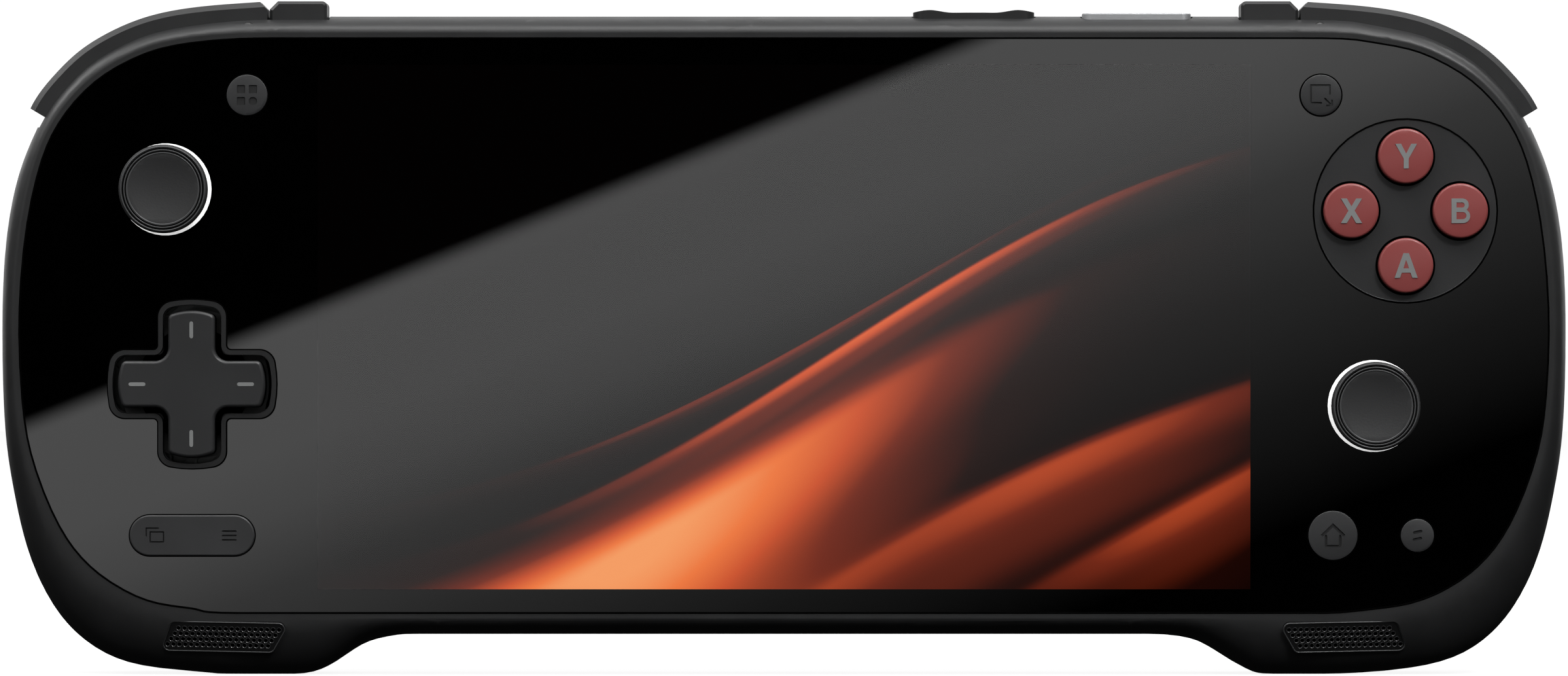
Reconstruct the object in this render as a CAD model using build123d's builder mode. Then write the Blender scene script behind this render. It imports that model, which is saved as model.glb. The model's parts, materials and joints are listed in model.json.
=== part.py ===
from build123d import *
import math
import os

# Handheld game console, as an assembly of separate pieces, in millimetres.
# X runs along the console, the screen faces -Y and +Z is up. It stands on the feet of its
# two grips. The origin is at the bottom centre of its box. A depth is counted backwards
# from the front of the glass, and a height upwards from the feet.

os.makedirs("parts", exist_ok=True)

# Whole console
half_width = 111.6  # centre to the widest point of the side
body_height = 93.85  # feet to the flat top edge
chin_lift = 5.69  # middle of the bottom edge above the feet
foot_outer = 0.68996 * half_width  # flat foot of each grip, from the centre outwards
foot_inner = 0.62724 * half_width
bend_end = 0.46595 * half_width  # where the curve between grip and chin ends
crest = 0.6595 * half_width  # where the flat top edge starts to fall towards the corner
body_depth = 16.5  # glass to the flat back
grip_depth = 24.0  # glass to the back of the grips
split_depth = 6.0  # glass to the seam of the two shells
shell_wall = 1.8
front_wall = 2.0
back_round = 4.0
overrun = 3.0  # how far cutting tools run past what they cut
running_gap = 0.25  # between a moving control and what is round it
seat_gap = 0.06  # between fixed pieces that fit in each other
pin_gap = 0.05  # radial clearance of a hinge pin

# Cover glass, display and mid plate
glass_inset = 2.9  # body's widest point beyond the glass
glass_drop = 3.3  # top of the glass below the top edge
glass_lift = 3.21  # bottom of the glass above the chin
glass_thick = 0.9
glass_seam = 0.1
rim_band = 0.6  # flat rim of the front shell around the glass
deck_thick = 1.2  # the front shell's deck under the glass
screen_wide = 1.19023 * half_width
screen_tall = 0.79616 * body_height
screen_drop = 3.59  # screen below the top of the glass
panel_side_border = 1.3
panel_top_border = 1.25
panel_bottom_border = 2.3
panel_thick = 1.8
plate_thick = 0.8
window_gap = 0.4  # between the display and the shell's window

# Thumb sticks
stick_height = 5.4  # top of the cap above the glass
cap_edge = 1.65
cap_r = 6.28
cap_dish_r = 5.15
cap_dish = 0.55
groove = 0.12
stem_r = 2.2
ring_r = 6.54
ring_bore_r = 6.05
ring_proud = 0.1
tilt_depth = 8.0  # centre of the stick's tilt below the glass
skirt_r = 6.2
skirt_wall = 0.6
skirt_angle = 40.0
module_side = 15.6
module_front = 4.6  # depth of the module's front face
module_back = 12.0
module_wall = 0.8
module_mouth_r = 6.1
ear_reach = 2.4
ear_thick = 1.0
yoke_side = 12.4
yoke_bar = 1.5
yoke_thick = 2.0
trunnion_r = 0.8
pivot_r = 3.4
pivot_thick = 3.2
shaft_r = 1.2
shaft_tail = 1.9  # shaft behind the centre of the tilt

# Cross pad
dpad_span = 20.9
dpad_arm = 6.6
dpad_corner = 0.8
dpad_throat = 1.9
dpad_crown = 0.7  # how far an arm's end bows out
dpad_proud = 1.9
dpad_gap = 0.86
dpad_edge = 0.5
bezel_band = 0.65
bezel_proud = 0.45
bezel_corner = 2.2
bezel_throat = 0.7
bezel_open_corner = 1.6
bezel_open_throat = 1.3
dpad_flange_r = 8.0
dpad_flange_thick = 0.7
dpad_drop = 0.75  # room for the flange's rim to rise
dpad_post_r = 2.0
dpad_seat_r = 3.4
dpad_seat_thick = 0.6
dpad_seat_gap = 0.15
dpad_seat_lift = 0.25
dpad_membrane_r = 10.6
dpad_dome_r = 2.0
dpad_dome_at = 6.0
dpad_lift = 0.71  # room under the flange for its rim to dip

# Face buttons
face_plate_r = 13.0
face_plate_lip = 1.3
face_pitch = 7.76
button_r = 3.9
button_hole_r = 4.13
button_proud = 1.6
button_travel = 1.2
button_dome = 0.25
button_edge = 0.35
button_lip = 0.7
button_flange_thick = 0.7
face_membrane_r = 12.6
membrane_thick = 0.6
dome_r = 2.6

# Small round buttons
apps_r = 2.9
capture_r = 2.9
home_r = 3.5
quick_r = 2.36
small_hole_gap = 0.15
small_proud = 0.5
small_dome = 0.2
small_lip = 0.6
small_flange_thick = 0.6
small_travel = 0.3
small_stem_r = 1.0

# Pill-shaped rocker
rocker_wide = 17.8
rocker_tall = 5.8
rocker_proud = 0.5
rocker_edge = 0.25
rocker_lip = 0.6
rocker_stem_at = 5.3
rocker_tilt_room = 0.4

# Control boards and tact switches
board_depth = 5.7
board_thick = 1.0
board_inner = 0.66308 * half_width
board_outer = 0.90502 * half_width
board_top = 0.89824 * body_height
board_bottom = 0.13852 * body_height
board_corner_x = 0.78853 * half_width
board_corner_z = 0.77784 * body_height
board_cut = 8.0
switch_side = 3.2
switch_body = 0.9
switch_nub_r = 0.8
switch_nub = 0.45
switch_gap = 0.12
boss_r = 2.0
screw_r = 0.8
screw_head_r = 1.5
screw_head = 0.8

# Shoulder controls
key_proud = 2.05  # shoulder controls above the top edge
key_front = 2.3  # depth of their front faces
bumper_back = 9.0
bumper_thick = 3.0
bumper_chamfer = 0.8
notch = 1.15
slit = 0.36
bumper_travel = 0.8  # of the rib over the bumper's switch
recess_inset = 5.9  # floor of the recess, from the outer face of the bumper
recess_wall = 1.2
tip_share = 0.25
bumper_pin_inner = 2.6  # pin beyond the crest
bumper_pin_inset = 3.9
pin_r = 0.8
lug_r = 1.7
inner_key_long = 8.5  # from the crest inwards
inner_key_round = 0.7
inner_key_thick = 3.2
inner_key_travel = 0.7
trigger_front = 9.3
trigger_short = 2.1  # far face before the back of the grips
trigger_tall = 13.5  # lower tip below its top
trigger_outer = 0.94982 * half_width
trigger_crest_gap = 1.9  # trigger beyond the crest
trigger_inset = 0.3
trigger_thick = 2.2
trigger_pin_depth = 12.0
trigger_pin_inset = 5.9
trigger_recess_inset = 7.9
trigger_slant = 2.4  # its lower front corner, behind its top front edge
trigger_pin_long = 13.7
ear_wide = 1.2
ear_r = 1.5
trigger_lug_wide = 3.4

# Top edge
grille_outer = 0.54659 * half_width
grille_inner = 0.04032 * half_width
grille_front = 7.4
grille_wide = 4.8
grille_slots = 14
grille_slot_r = 1.1
volume_centre = 0.24238 * half_width
volume_long = 17.3
volume_wide = 3.2
volume_proud = 0.45
volume_bump = 0.37
power_centre = 0.45027 * half_width
power_long = 15.5
power_wide = 4.0
power_proud = 0.37
top_key_depth = 4.5
top_switch_depth = 5.4
top_key_flange = 0.8
top_key_rock = 0.35  # room above the volume rocker's flange
power_seat = 0.1
top_key_lip = 0.9
shelf_thick = 1.2

# Bottom edge
jack_x = -0.44355 * half_width
jack_bore_r = 1.75
jack_barrel_r = 2.7
jack_wide = 6.4
jack_deep = 5.0
jack_long = 12.5
jack_bore_long = 11.0
usb_wide = 8.94
usb_tall = 3.2
usb_long = 8.0
usb_wall = 0.3
usb_tongue = 0.7
card_x = -0.13799 * half_width
card_wide = 13.0
card_tall = 1.7
card_long = 14.0
card_mouth_wide = 11.4
card_mouth_tall = 0.9
port_gap = 0.2
port_recess = 0.25

# Speakers and rumble motors
speaker_grille_x = 0.7143 * half_width
speaker_grille_z = 5.45
speaker_grille_depth = 0.35
speaker_grille_wide = 18.4
speaker_grille_tall = 4.3
speaker_grille_tilt = 15.0
speaker_grille_turn = 3.8
speaker_grille_round = 0.9
speaker_grille_thick = 0.9
speaker_hole_r = 0.28
speaker_hole_lean = 0.54  # each row shifted along the slanted ends
speaker_hole_columns = 18
speaker_hole_rows = 4
speaker_hole_pitch = 0.845
speaker_row_pitch = 0.8
speaker_x = 0.70968 * half_width
speaker_wide = 16.0
speaker_tall = 4.8
speaker_z = 7.8
speaker_gap = 0.2
speaker_thick = 3.0
motor_r = 5.0
motor_thick = 3.4

# Grips
grip_x = 0.80018 * half_width
grip_z = 0.36228 * body_height
grip_half_wide = 0.1828 * half_width
grip_half_tall = 0.34097 * body_height

# Boards, battery and cooling
main_depth = 6.2
main_thick = 1.0
main_margin = 5.0  # mainboard beyond the blower
main_right = 0.10753 * half_width
main_top = 0.86841 * body_height
main_bottom = 0.08524 * body_height
standoff_r = 2.0
standoff_inset = 3.4
battery_left = 0.12545 * half_width
battery_right = 0.55108 * half_width
battery_top = 0.84177 * body_height
battery_bottom = 0.13319 * body_height
battery_thick = 7.0
fan_left = -0.49283 * half_width
fan_side = 0.20443 * (half_width + body_height)
fan_drop = 2.5  # blower's square below the fins
fan_margin = 2.5  # square beyond the rotor's circle
fan_thick = 5.6
fan_wall = 0.6
fan_rim = 6.0  # cover over the rotor's edge
fan_outlet_wall = 5.0
hub_r = 8.0
blade_count = 25
blade_thick = 0.5
rotor_gap = 0.6
axle_r = 1.0
fin_left = -0.54211 * half_width
fin_tail = 1.5  # fins beyond the pipe
fin_tall = 10.05  # from the top wall down
fin_gap = 0.15
fin_deep = 5.2
fin_count = 36
fin_thick = 0.3
fin_plate = 0.5
chip_x = -0.27778 * half_width
chip_drop = 1.5  # processor below the blower
chip_side = 0.17048 * body_height
chip_tall = 1.2
pipe_wide = 6.0
pipe_thick = 1.5
pipe_start = 6.0  # end of the pipe beyond the processor's middle
pipe_clear = 0.5
pipe_lift = 4.5  # middle of the pipe above the fins' lower edge
pipe_end_x = -0.48387 * half_width
pipe_bend = 5.0
intake_margin = 4.5  # intake inside the rotor's circle
intake_rows = 5
intake_slot_r = 0.9
mesh_thick = 0.3
mesh_margin = 1.2

# Case screws
case_screw_x = 0.58244 * half_width
case_screw_shares = (0.1705, 0.5008, 0.8311)
case_boss_r = 2.4
case_screw_r = 0.9
case_head_r = 1.9
case_head = 1.1
case_head_sunk = 0.3
case_screw_gap = 0.15
case_boss_end = 6.0  # depth where the mid plate's boss ends
case_boss_gap = 0.1
case_grip = 2.2  # how deep a case screw bites into the mid plate's boss
cross_wide = 0.5
cross_deep = 0.5

# Values worked out from the ones above
glass_y = (stick_height - grip_depth) / 2
deck_back = glass_thick + deck_thick
panel_back = glass_thick + panel_thick
plate_back = panel_back + plate_thick
board_back = board_depth + board_thick
main_back = main_depth + main_thick
back_inner = body_depth - shell_wall
top_inner = body_height - shell_wall
chin_inner = chin_lift + shell_wall
key_top = body_height + key_proud
glass_half = half_width - glass_inset
glass_top = body_height - glass_drop
glass_bottom = chin_lift + glass_lift
screen_top = glass_top - screen_drop
bumper_pin_x = crest + bumper_pin_inner
inner_key_end = crest - inner_key_long
trigger_reach = grip_depth - trigger_short
trigger_tip = key_top - trigger_tall
trigger_inner = crest + trigger_crest_gap
trigger_pin_outer = trigger_inner + trigger_pin_long
fin_bottom = top_inner - fin_tall
fan_r = fan_side / 2 - fan_margin
fan_x = fan_left + fan_side / 2
fan_z = fin_bottom - fan_drop - fan_side / 2
fan_inlet_r = fan_r - fan_rim
fan_outlet = fan_side - 2 * fan_outlet_wall
main_left = fan_left - main_margin
chip_z = fan_z - fan_side / 2 - chip_drop - chip_side / 2
pipe_start_x = chip_x - pipe_start
pipe_x = fan_left + fan_side + pipe_clear + pipe_wide / 2
pipe_z = fin_bottom + pipe_lift
fin_right = pipe_x + pipe_wide / 2 + fin_tail
intake_r = fan_r - intake_margin
case_screw_zs = [share * body_height for share in case_screw_shares]
window_half = screen_wide / 2 + panel_side_border + window_gap
window_top = screen_top + panel_top_border + window_gap
window_bottom = screen_top - screen_tall - panel_bottom_border - window_gap

# Left side of the body from the top edge down to the foot, as shares of half the width and
# the height, and the same stations of the glass, as shares of its own half width and height
body_side_shares = (
    (0.753, 0.9909), (0.8127, 0.976), (0.8548, 0.9547), (0.8898, 0.9281), (0.9176, 0.8961),
    (0.9418, 0.8588), (0.9606, 0.8162), (0.9767, 0.7672), (0.9892, 0.7064), (0.9978, 0.618),
    (1.0, 0.5221), (0.9987, 0.4262), (0.9937, 0.341), (0.9839, 0.2696), (0.9677, 0.1897),
    (0.9462, 0.1279), (0.9122, 0.0703), (0.8674, 0.0309), (0.8002, 0.009), (0.7348, 0.0016),
)
glass_side_shares = (
    (0.77, 0.9927), (0.8234, 0.9786), (0.8611, 0.9577), (0.8942, 0.9308), (0.9209, 0.899),
    (0.9439, 0.861), (0.9614, 0.8194), (0.9747, 0.7691), (0.9862, 0.703), (0.9963, 0.6013),
    (1.0, 0.4972), (0.9972, 0.3932), (0.988, 0.2964), (0.9744, 0.2339), (0.9539, 0.1678),
    (0.9316, 0.1176), (0.8996, 0.0723), (0.8638, 0.0404), (0.8154, 0.0159), (0.7704, 0.0071),
)
bend_shares = ((0.0, 0.0), (0.2, 0.1), (0.405, 0.46), (0.6, 0.82), (0.8, 0.967), (1.0, 1.0))
bumper_stations = 7
switch_station = 4
trigger_shares = (
    (0.0, 1.0), (0.3, 0.985), (0.55, 0.91), (0.76, 0.76), (0.91, 0.52), (0.98, 0.25), (1.0, 0.0)
)
volume_crown_shares = (
    (-1.02, 0.0), (-0.88, 0.62), (-0.72, 1.0), (-0.56, 0.55), (-0.42, 0.06), (-0.2, 0.0), (0.0, 0.0),
    (0.2, 0.0), (0.42, 0.06), (0.56, 0.55), (0.72, 1.0), (0.88, 0.62), (1.02, 0.0),
)
speaker_grille_shares = ((-0.38, -0.5), (0.489, -0.5), (0.404, 0.5), (-0.511, 0.5))
corner_signs = ((-1, -1), (1, -1), (1, 1), (-1, 1))
recess_end_share = 0.65
liner_end_share = 0.3
shoulder_shares = (0.0, 0.08, 0.3, 0.6, 1.0)

# Places of the controls and bosses, as shares of half the width and of the height
left_stick_share = (-0.78763, 0.73586)
right_stick_share = (0.7509, 0.4081)
dpad_share = (-0.75358, 0.44113)
face_share = (0.79122, 0.70325)
rocker_share = (-0.75358, 0.21204)
apps_share = (-0.68369, 0.87853)
capture_share = (0.68369, 0.87853)
home_share = (0.69892, 0.21204)
quick_share = (0.80645, 0.21204)
left_boss_shares = ((-0.87366, 0.28769), (-0.87366, 0.57539), (-0.68996, 0.57006))
right_boss_shares = ((0.87366, 0.28769), (0.87366, 0.53809), (0.69444, 0.53809))
grip_level_shares = ((0.45, 1.0), (0.72, 0.97), (0.9, 0.78), (1.0, 0.42))


def placed(share):
    """Place on the face of the console, from its shares of half the width and the height."""
    return (share[0] * half_width, share[1] * body_height)


left_stick = placed(left_stick_share)
right_stick = placed(right_stick_share)
dpad_centre = placed(dpad_share)
face_centre = placed(face_share)
rocker_centre = placed(rocker_share)
left_board_bosses = [placed(share) for share in left_boss_shares]
right_board_bosses = [placed(share) for share in right_boss_shares]
# Name, place and radius of each small round button
small_buttons = (
    ("apps_button", placed(apps_share), apps_r),
    ("capture_button", placed(capture_share), capture_r),
    ("home_button", placed(home_share), home_r),
    ("quick_button", placed(quick_share), quick_r),
)


def at(depth):
    """Plane that faces the player, a depth behind the front of the glass."""
    return Plane.XZ.offset(-(glass_y + depth))


def above(height):
    """Level plane at a height."""
    return Plane.XY.offset(height)


def across(x):
    """Plane square to X, with the depth axis as its own x."""
    return Plane.YZ.offset(x)


def body_side():
    """Points of the body's left side, from the crest to the foot."""
    points = [(-x * half_width, z * body_height) for x, z in body_side_shares]
    return [(-crest, body_height)] + points + [(-foot_outer, 0)]


def glass_side():
    """Points of the glass's left side, from its top edge to its bottom edge."""
    tall = glass_top - glass_bottom
    points = [(-x * glass_half, glass_bottom + z * tall) for x, z in glass_side_shares]
    return [(-crest, glass_top)] + points + [(-foot_outer, glass_bottom)]


def bend(foot_z, chin_z):
    """Points of the curve from the foot of the left grip up to the chin."""
    run = foot_inner - bend_end
    return [(x * run - foot_inner, foot_z + z * (chin_z - foot_z)) for x, z in bend_shares]


def grown(points, distance):
    """Points moved outwards, square to the line between their neighbours."""
    moved = [(points[0][0], points[0][1] + distance)]
    for before, point, after in zip(points, points[1:], points[2:]):
        run, rise = after[0] - before[0], after[1] - before[1]
        length = math.hypot(run, rise)
        moved.append((point[0] + rise / length * distance, point[1] - run / length * distance))
    moved.append((points[-1][0], points[-1][1] - distance))
    return moved


def mixed(first, second, share):
    """Points between two rows of points."""
    return [
        (a[0] + (b[0] - a[0]) * share, a[1] + (b[1] - a[1]) * share)
        for a, b in zip(first, second)
    ]


def outline(side, foot_bend):
    """Face inside the closed outline whose left half is given; the right half mirrors it."""
    right_side = [(-x, z) for x, z in side]
    right_bend = [(-x, z) for x, z in foot_bend]
    with BuildSketch() as face:
        with BuildLine():
            Line(right_side[0], side[0])
            Spline(*side, tangents=((-1, 0), (1, 0)))
            Line(side[-1], foot_bend[0])
            Spline(*foot_bend, tangents=((1, 0), (1, 0)))
            Line(foot_bend[-1], right_bend[-1])
            Spline(*reversed(right_bend), tangents=((1, 0), (1, 0)))
            Line(right_bend[0], right_side[-1])
            Spline(*reversed(right_side), tangents=((1, 0), (-1, 0)))
        make_face()
    return face.sketch


def glass_outline(growth=0.0):
    """Outline of the glass, grown by a distance."""
    edge = glass_bottom - growth
    return outline(grown(glass_side(), growth), bend(edge, edge))


def body_outline(share=1.0, growth=0.0):
    """Outline between the rim, share 0, and the widest section of the body, share 1."""
    rim = grown(glass_side(), glass_seam + rim_band)
    side = grown(mixed(rim, body_side(), share), growth)
    rim_z = rim[-1][1]
    foot_z = rim_z * (1 - share)
    chin_z = rim_z + (chin_lift - rim_z) * share
    return outline(side, bend(foot_z - growth, chin_z - growth))


def shoulder_share(depth):
    """How far the rounded shoulder has opened at a depth, as a quarter of an ellipse."""
    left = 1 - depth / split_depth
    return math.sqrt(1 - left * left)


def band(stations, outer, inner, last_share, side):
    """Face of a band along the body's upper corner, between two distances from its edge."""
    edge = body_side()
    rows = []
    for distance in (outer, inner):
        row = grown(edge, distance)
        last = mixed([row[stations - 1]], [row[stations]], last_share)
        rows.append([(-side * x, z) for x, z in row[:stations] + last])
    with BuildSketch() as face:
        with BuildLine():
            Spline(*rows[0])
            Line(rows[0][-1], rows[1][-1])
            Spline(*reversed(rows[1]))
            Line(rows[1][0], rows[0][0])
        make_face()
    return face.sketch


def cross_face(span, arm, outer_round, inner_round):
    """Cross with bowed arm ends and rounded corners."""
    half, wide = span / 2, arm / 2
    with BuildSketch() as face:
        with BuildLine():
            for turn in range(4):
                a = math.radians(90 * turn)
                spots = [(wide, wide), (half - dpad_crown, wide), (half, 0), (half - dpad_crown, -wide)]
                spots.append((wide, -wide))
                turned = [
                    (x * math.cos(a) - y * math.sin(a), x * math.sin(a) + y * math.cos(a))
                    for x, y in spots
                ]
                Line(turned[0], turned[1])
                ThreePointArc(turned[1], turned[2], turned[3])
                Line(turned[3], turned[4])
        make_face()
        corners = face.vertices().sort_by(lambda v: v.center().length)
        fillet(corners[:4], inner_round)
        outer = face.vertices().filter_by(lambda v: v.center().length > half - dpad_crown)
        fillet(outer, outer_round)
    return face.sketch


def save(part, name):
    """Label a finished piece and write it."""
    part.label = name
    export_step(part, f"parts/{name}.step")


def ellipse_stack(inset):
    """Rounded bulge of the left grip, drawn in all round by a distance."""
    with BuildPart() as bulge:
        for depth_share, size_share in grip_level_shares:
            with BuildSketch(at(depth_share * grip_depth - inset)):
                with Locations((-grip_x, grip_z)):
                    Ellipse(
                        grip_half_wide * size_share - inset, grip_half_tall * size_share - inset
                    )
        loft()
    return bulge.part



def recess_face(inset, wall, stations, end_share):
    """Face of the shoulder recesses around the corners, with a wall under them."""
    floor = key_proud - inset - wall
    with BuildSketch() as face:
        for side in (-1, 1):
            add(band(stations, key_proud + overrun, floor, end_share, side))
    return face.sketch


def key_face(inset, wall, inner_end):
    """Face of the recesses from an inner end up to the corners, with a wall round them."""
    floor = key_proud - inset - wall
    with BuildSketch() as face:
        for side in (-1, 1):
            with Locations((side * (inner_end - wall + crest) / 2, body_height + floor)):
                Rectangle(
                    crest - inner_end + wall,
                    key_proud + overrun - floor,
                    align=(Align.CENTER, Align.MIN),
                )
    return face.sketch


def floor_plane(side, lift):
    """Plane over the floor of a bumper's recess, facing outwards."""
    row = [(-side * x, z) for x, z in grown(body_side(), key_proud - recess_inset)]
    before, here, after = row[switch_station - 1 : switch_station + 2]
    run, rise = after[0] - before[0], after[1] - before[1]
    origin = (here[0], glass_y + recess_mid, here[1])
    return Plane(origin=origin, x_dir=(run, 0, rise), z_dir=(-side * rise, 0, side * run)).offset(lift)


def control_face(ring_hole, plate_hole, cross_growth):
    """Face of every opening that the controls need in the glass or in the deck under it."""
    with BuildSketch() as face:
        with Locations(left_stick, right_stick):
            Circle(ring_hole)
        with Locations(face_centre):
            Circle(plate_hole)
        with Locations(dpad_centre):
            add(
                cross_face(
                    dpad_span + 2 * cross_growth, dpad_arm + 2 * cross_growth,
                    bezel_corner, bezel_throat,
                )
            )
        for name, place, radius in small_buttons:
            with Locations(place):
                Circle(radius + small_hole_gap)
        with Locations(rocker_centre):
            SlotOverall(rocker_wide + 2 * small_hole_gap, rocker_tall + 2 * small_hole_gap)
    return face.sketch


def level_box(low, high):
    """Solid box between two corners, each given as x, depth and height."""
    with BuildPart() as solid:
        with Locations((low[0], glass_y + low[1], low[2])):
            Box(
                high[0] - low[0], high[1] - low[1], high[2] - low[2],
                align=(Align.MIN, Align.MIN, Align.MIN),
            )
    return solid.part


def disc(places, radius, front, back):
    """Solid discs that face the player, between two depths."""
    with BuildPart() as solid:
        with BuildSketch(at(front)):
            with Locations(*places):
                Circle(radius)
        extrude(amount=front - back)
    return solid.part


def upright(place, radius, low, high):
    """Solid cylinder along Z; its place is x and depth."""
    with BuildPart() as solid:
        with BuildSketch(above(low)):
            with Locations((place[0], glass_y + place[1])):
                Circle(radius)
        extrude(amount=high - low)
    return solid.part


def crosswise(place, radius, low, high):
    """Solid cylinder along X; its place is depth and height."""
    with BuildPart() as solid:
        with BuildSketch(across(low)):
            with Locations((glass_y + place[0], place[1])):
                Circle(radius)
        extrude(amount=high - low)
    return solid.part


def level_plane(place, depth=0.0):
    """Level plane through a control's axis, with X right and its own y as the depth."""
    origin = (place[0], glass_y + depth, place[1])
    return Plane(origin=origin, x_dir=(1, 0, 0), z_dir=(0, 0, 1))


def crowned(place, radius, front, crown, edge, back):
    """Solid round button with a crowned front and a rounded edge, between two depths."""
    with BuildPart() as solid:
        with BuildSketch(level_plane(place)) as half:
            with BuildLine():
                ThreePointArc((0, front), (radius / 2, front + crown / 4), (radius, front + crown))
                Line((radius, front + crown), (radius, back))
                Line((radius, back), (0, back))
                Line((0, back), (0, front))
            make_face()
            fillet(half.vertices().sort_by(Axis.X)[-2:].sort_by(Axis.Y)[0], edge)
        revolve(axis=Axis((place[0], glass_y, place[1]), (0, 1, 0)))
    return solid.part


def screws(places, front_depth, head_back, head_radius, head_thick, radius):
    """Screws driven from the back, each with a cross in its head."""
    with BuildPart() as group:
        add(disc(places, radius, front_depth, head_back))
        add(disc(places, head_radius, head_back - head_thick, head_back))
        with BuildSketch(at(head_back - cross_deep)):
            with Locations(*places):
                Rectangle(head_radius * 2 - 2 * cross_wide, cross_wide)
                Rectangle(cross_wide, head_radius * 2 - 2 * cross_wide)
        extrude(amount=-overrun, mode=Mode.SUBTRACT)
    return group.part


# Places that several pieces share
nub_depth = board_depth - switch_body - switch_nub
flange_front = deck_back + power_seat
small_stem_end = nub_depth - small_travel - switch_gap
membrane_front = board_depth - membrane_thick
case_places = [(side * case_screw_x, z) for side in (-1, 1) for z in case_screw_zs]
case_head_back = body_depth - case_head_sunk
main_places = [
    (x, z)
    for x in (main_left + standoff_inset, main_right - standoff_inset)
    for z in (main_bottom + standoff_inset, main_top - standoff_inset)
]
bumper_pin_z = key_top - bumper_pin_inset
trigger_pin_z = key_top - trigger_pin_inset
trigger_pin_inner = trigger_inner - running_gap - ear_wide
inner_key_bottom = key_top - inner_key_thick
inner_key_mid = (crest - slit + inner_key_end) / 2
recess_mid = (deck_back + split_depth) / 2
key_floor = key_top - recess_inset
key_nub_top = key_floor + switch_body + switch_nub
shelf_top = top_inner - top_key_rock - top_key_flange - running_gap - switch_gap
shelf_top -= switch_nub + switch_body
top_keys = (
    (volume_centre, volume_long, volume_wide, volume_wide / 2),
    (power_centre, power_long, power_wide, power_wide / 3),
)
usb_depth = main_back + usb_tall / 2
jack_depth = main_back + jack_deep / 2
card_depth = main_back + card_tall / 2
port_z = chin_lift + port_recess
pipe_front = main_back + chip_tall
button_places = {
    "button_y": (face_centre[0], face_centre[1] + face_pitch),
    "button_a": (face_centre[0], face_centre[1] - face_pitch),
    "button_x": (face_centre[0] - face_pitch, face_centre[1]),
    "button_b": (face_centre[0] + face_pitch, face_centre[1]),
}


def grille_plane(side):
    """Plane of a speaker grille, leaning back with the shoulder below the glass."""
    origin = (side * speaker_grille_x, glass_y + speaker_grille_depth, speaker_grille_z)
    base = Plane(origin=origin, x_dir=(1, 0, 0), z_dir=(0, -1, 0))
    return base.rotated((speaker_grille_tilt, 0, side * speaker_grille_turn))


def grille_face(growth, side):
    """Slanted face of a speaker grille with rounded corners."""
    with BuildSketch() as face:
        with BuildLine():
            Polyline(
                *(
                    (
                        side * (x * speaker_grille_wide + reach * growth),
                        z * speaker_grille_tall + up * growth,
                    )
                    for (x, z), (reach, up) in zip(speaker_grille_shares, corner_signs)
                ),
                close=True,
            )
        make_face()
        fillet(face.vertices(), speaker_grille_round + growth)
    return face.sketch


def key_openings():
    """Openings of the two keys in the top edge, seen from above."""
    with BuildSketch() as face:
        for key_x, key_long, key_wide, key_round in top_keys:
            with Locations((key_x, glass_y + top_key_depth)):
                RectangleRounded(key_long + 2 * running_gap, key_wide + 2 * running_gap, key_round)
    return face.sketch


# Front shell
with BuildPart() as front_form:
    for depth_share in shoulder_shares:
        with BuildSketch(at(depth_share * split_depth)):
            add(body_outline(shoulder_share(depth_share * split_depth)))
    loft()

with BuildPart() as front_liner:
    add(front_form.part)
    with BuildSketch(at(glass_thick)):
        add(recess_face(recess_inset, recess_wall, bumper_stations + 1, liner_end_share))
        add(key_face(recess_inset, recess_wall, inner_key_end - slit))
    extrude(amount=-split_depth, mode=Mode.INTERSECT)

with BuildPart() as front_frame:
    add(front_form.part)
    with BuildSketch(at(deck_back)):
        add(body_outline(shoulder_share(deck_back), -front_wall))
    extrude(amount=-split_depth, mode=Mode.SUBTRACT)
    add(front_liner.part)
    with BuildSketch(at(deck_back)):
        add(recess_face(recess_inset, 0, bumper_stations, recess_end_share))
        add(key_face(recess_inset, 0, inner_key_end - slit))
    extrude(amount=-split_depth, mode=Mode.SUBTRACT)
    with BuildSketch(at(-overrun)):
        add(glass_outline(glass_seam))
    extrude(amount=-(overrun + glass_thick), mode=Mode.SUBTRACT)
    with BuildSketch(at(-overrun)):
        with Locations((0, window_bottom)):
            Rectangle(
                2 * window_half, window_top - window_bottom, align=(Align.CENTER, Align.MIN)
            )
    extrude(amount=-(overrun + split_depth), mode=Mode.SUBTRACT)
    with BuildSketch(at(-overrun)):
        add(control_face(ring_bore_r, face_plate_r - face_plate_lip, dpad_gap))
    extrude(amount=-(overrun + deck_back), mode=Mode.SUBTRACT)
    add(disc(left_board_bosses + right_board_bosses, boss_r, deck_back, board_depth))
    with BuildSketch(at(deck_back)):
        with Locations(*left_board_bosses, *right_board_bosses):
            Circle(screw_r + pin_gap)
    extrude(amount=-split_depth, mode=Mode.SUBTRACT)
    for side in (-1, 1):
        pin_place = (side * bumper_pin_x, bumper_pin_z)
        add(disc([pin_place], pin_r + pin_gap, glass_thick, split_depth), mode=Mode.SUBTRACT)
        with BuildSketch(grille_plane(side).offset(overrun)):
            add(grille_face(seat_gap, side))
        extrude(amount=-(overrun + speaker_grille_thick + deck_back), mode=Mode.SUBTRACT)
    # Openings of the keys in the top edge, and room for their flanges
    with BuildSketch(above(top_inner - seat_gap)):
        add(key_openings())
    extrude(amount=overrun, mode=Mode.SUBTRACT)
    for key_x, key_long, key_wide, key_round in top_keys:
        reach = key_long / 2 + top_key_lip + running_gap
        flange_low = top_inner - top_key_rock - top_key_flange - running_gap
        add(
            level_box(
                (key_x - reach, top_key_depth - key_wide / 2 - running_gap, flange_low),
                (key_x + reach, split_depth + overrun, top_inner),
            ),
            mode=Mode.SUBTRACT,
        )
save(front_frame.part, "front_frame")

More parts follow.
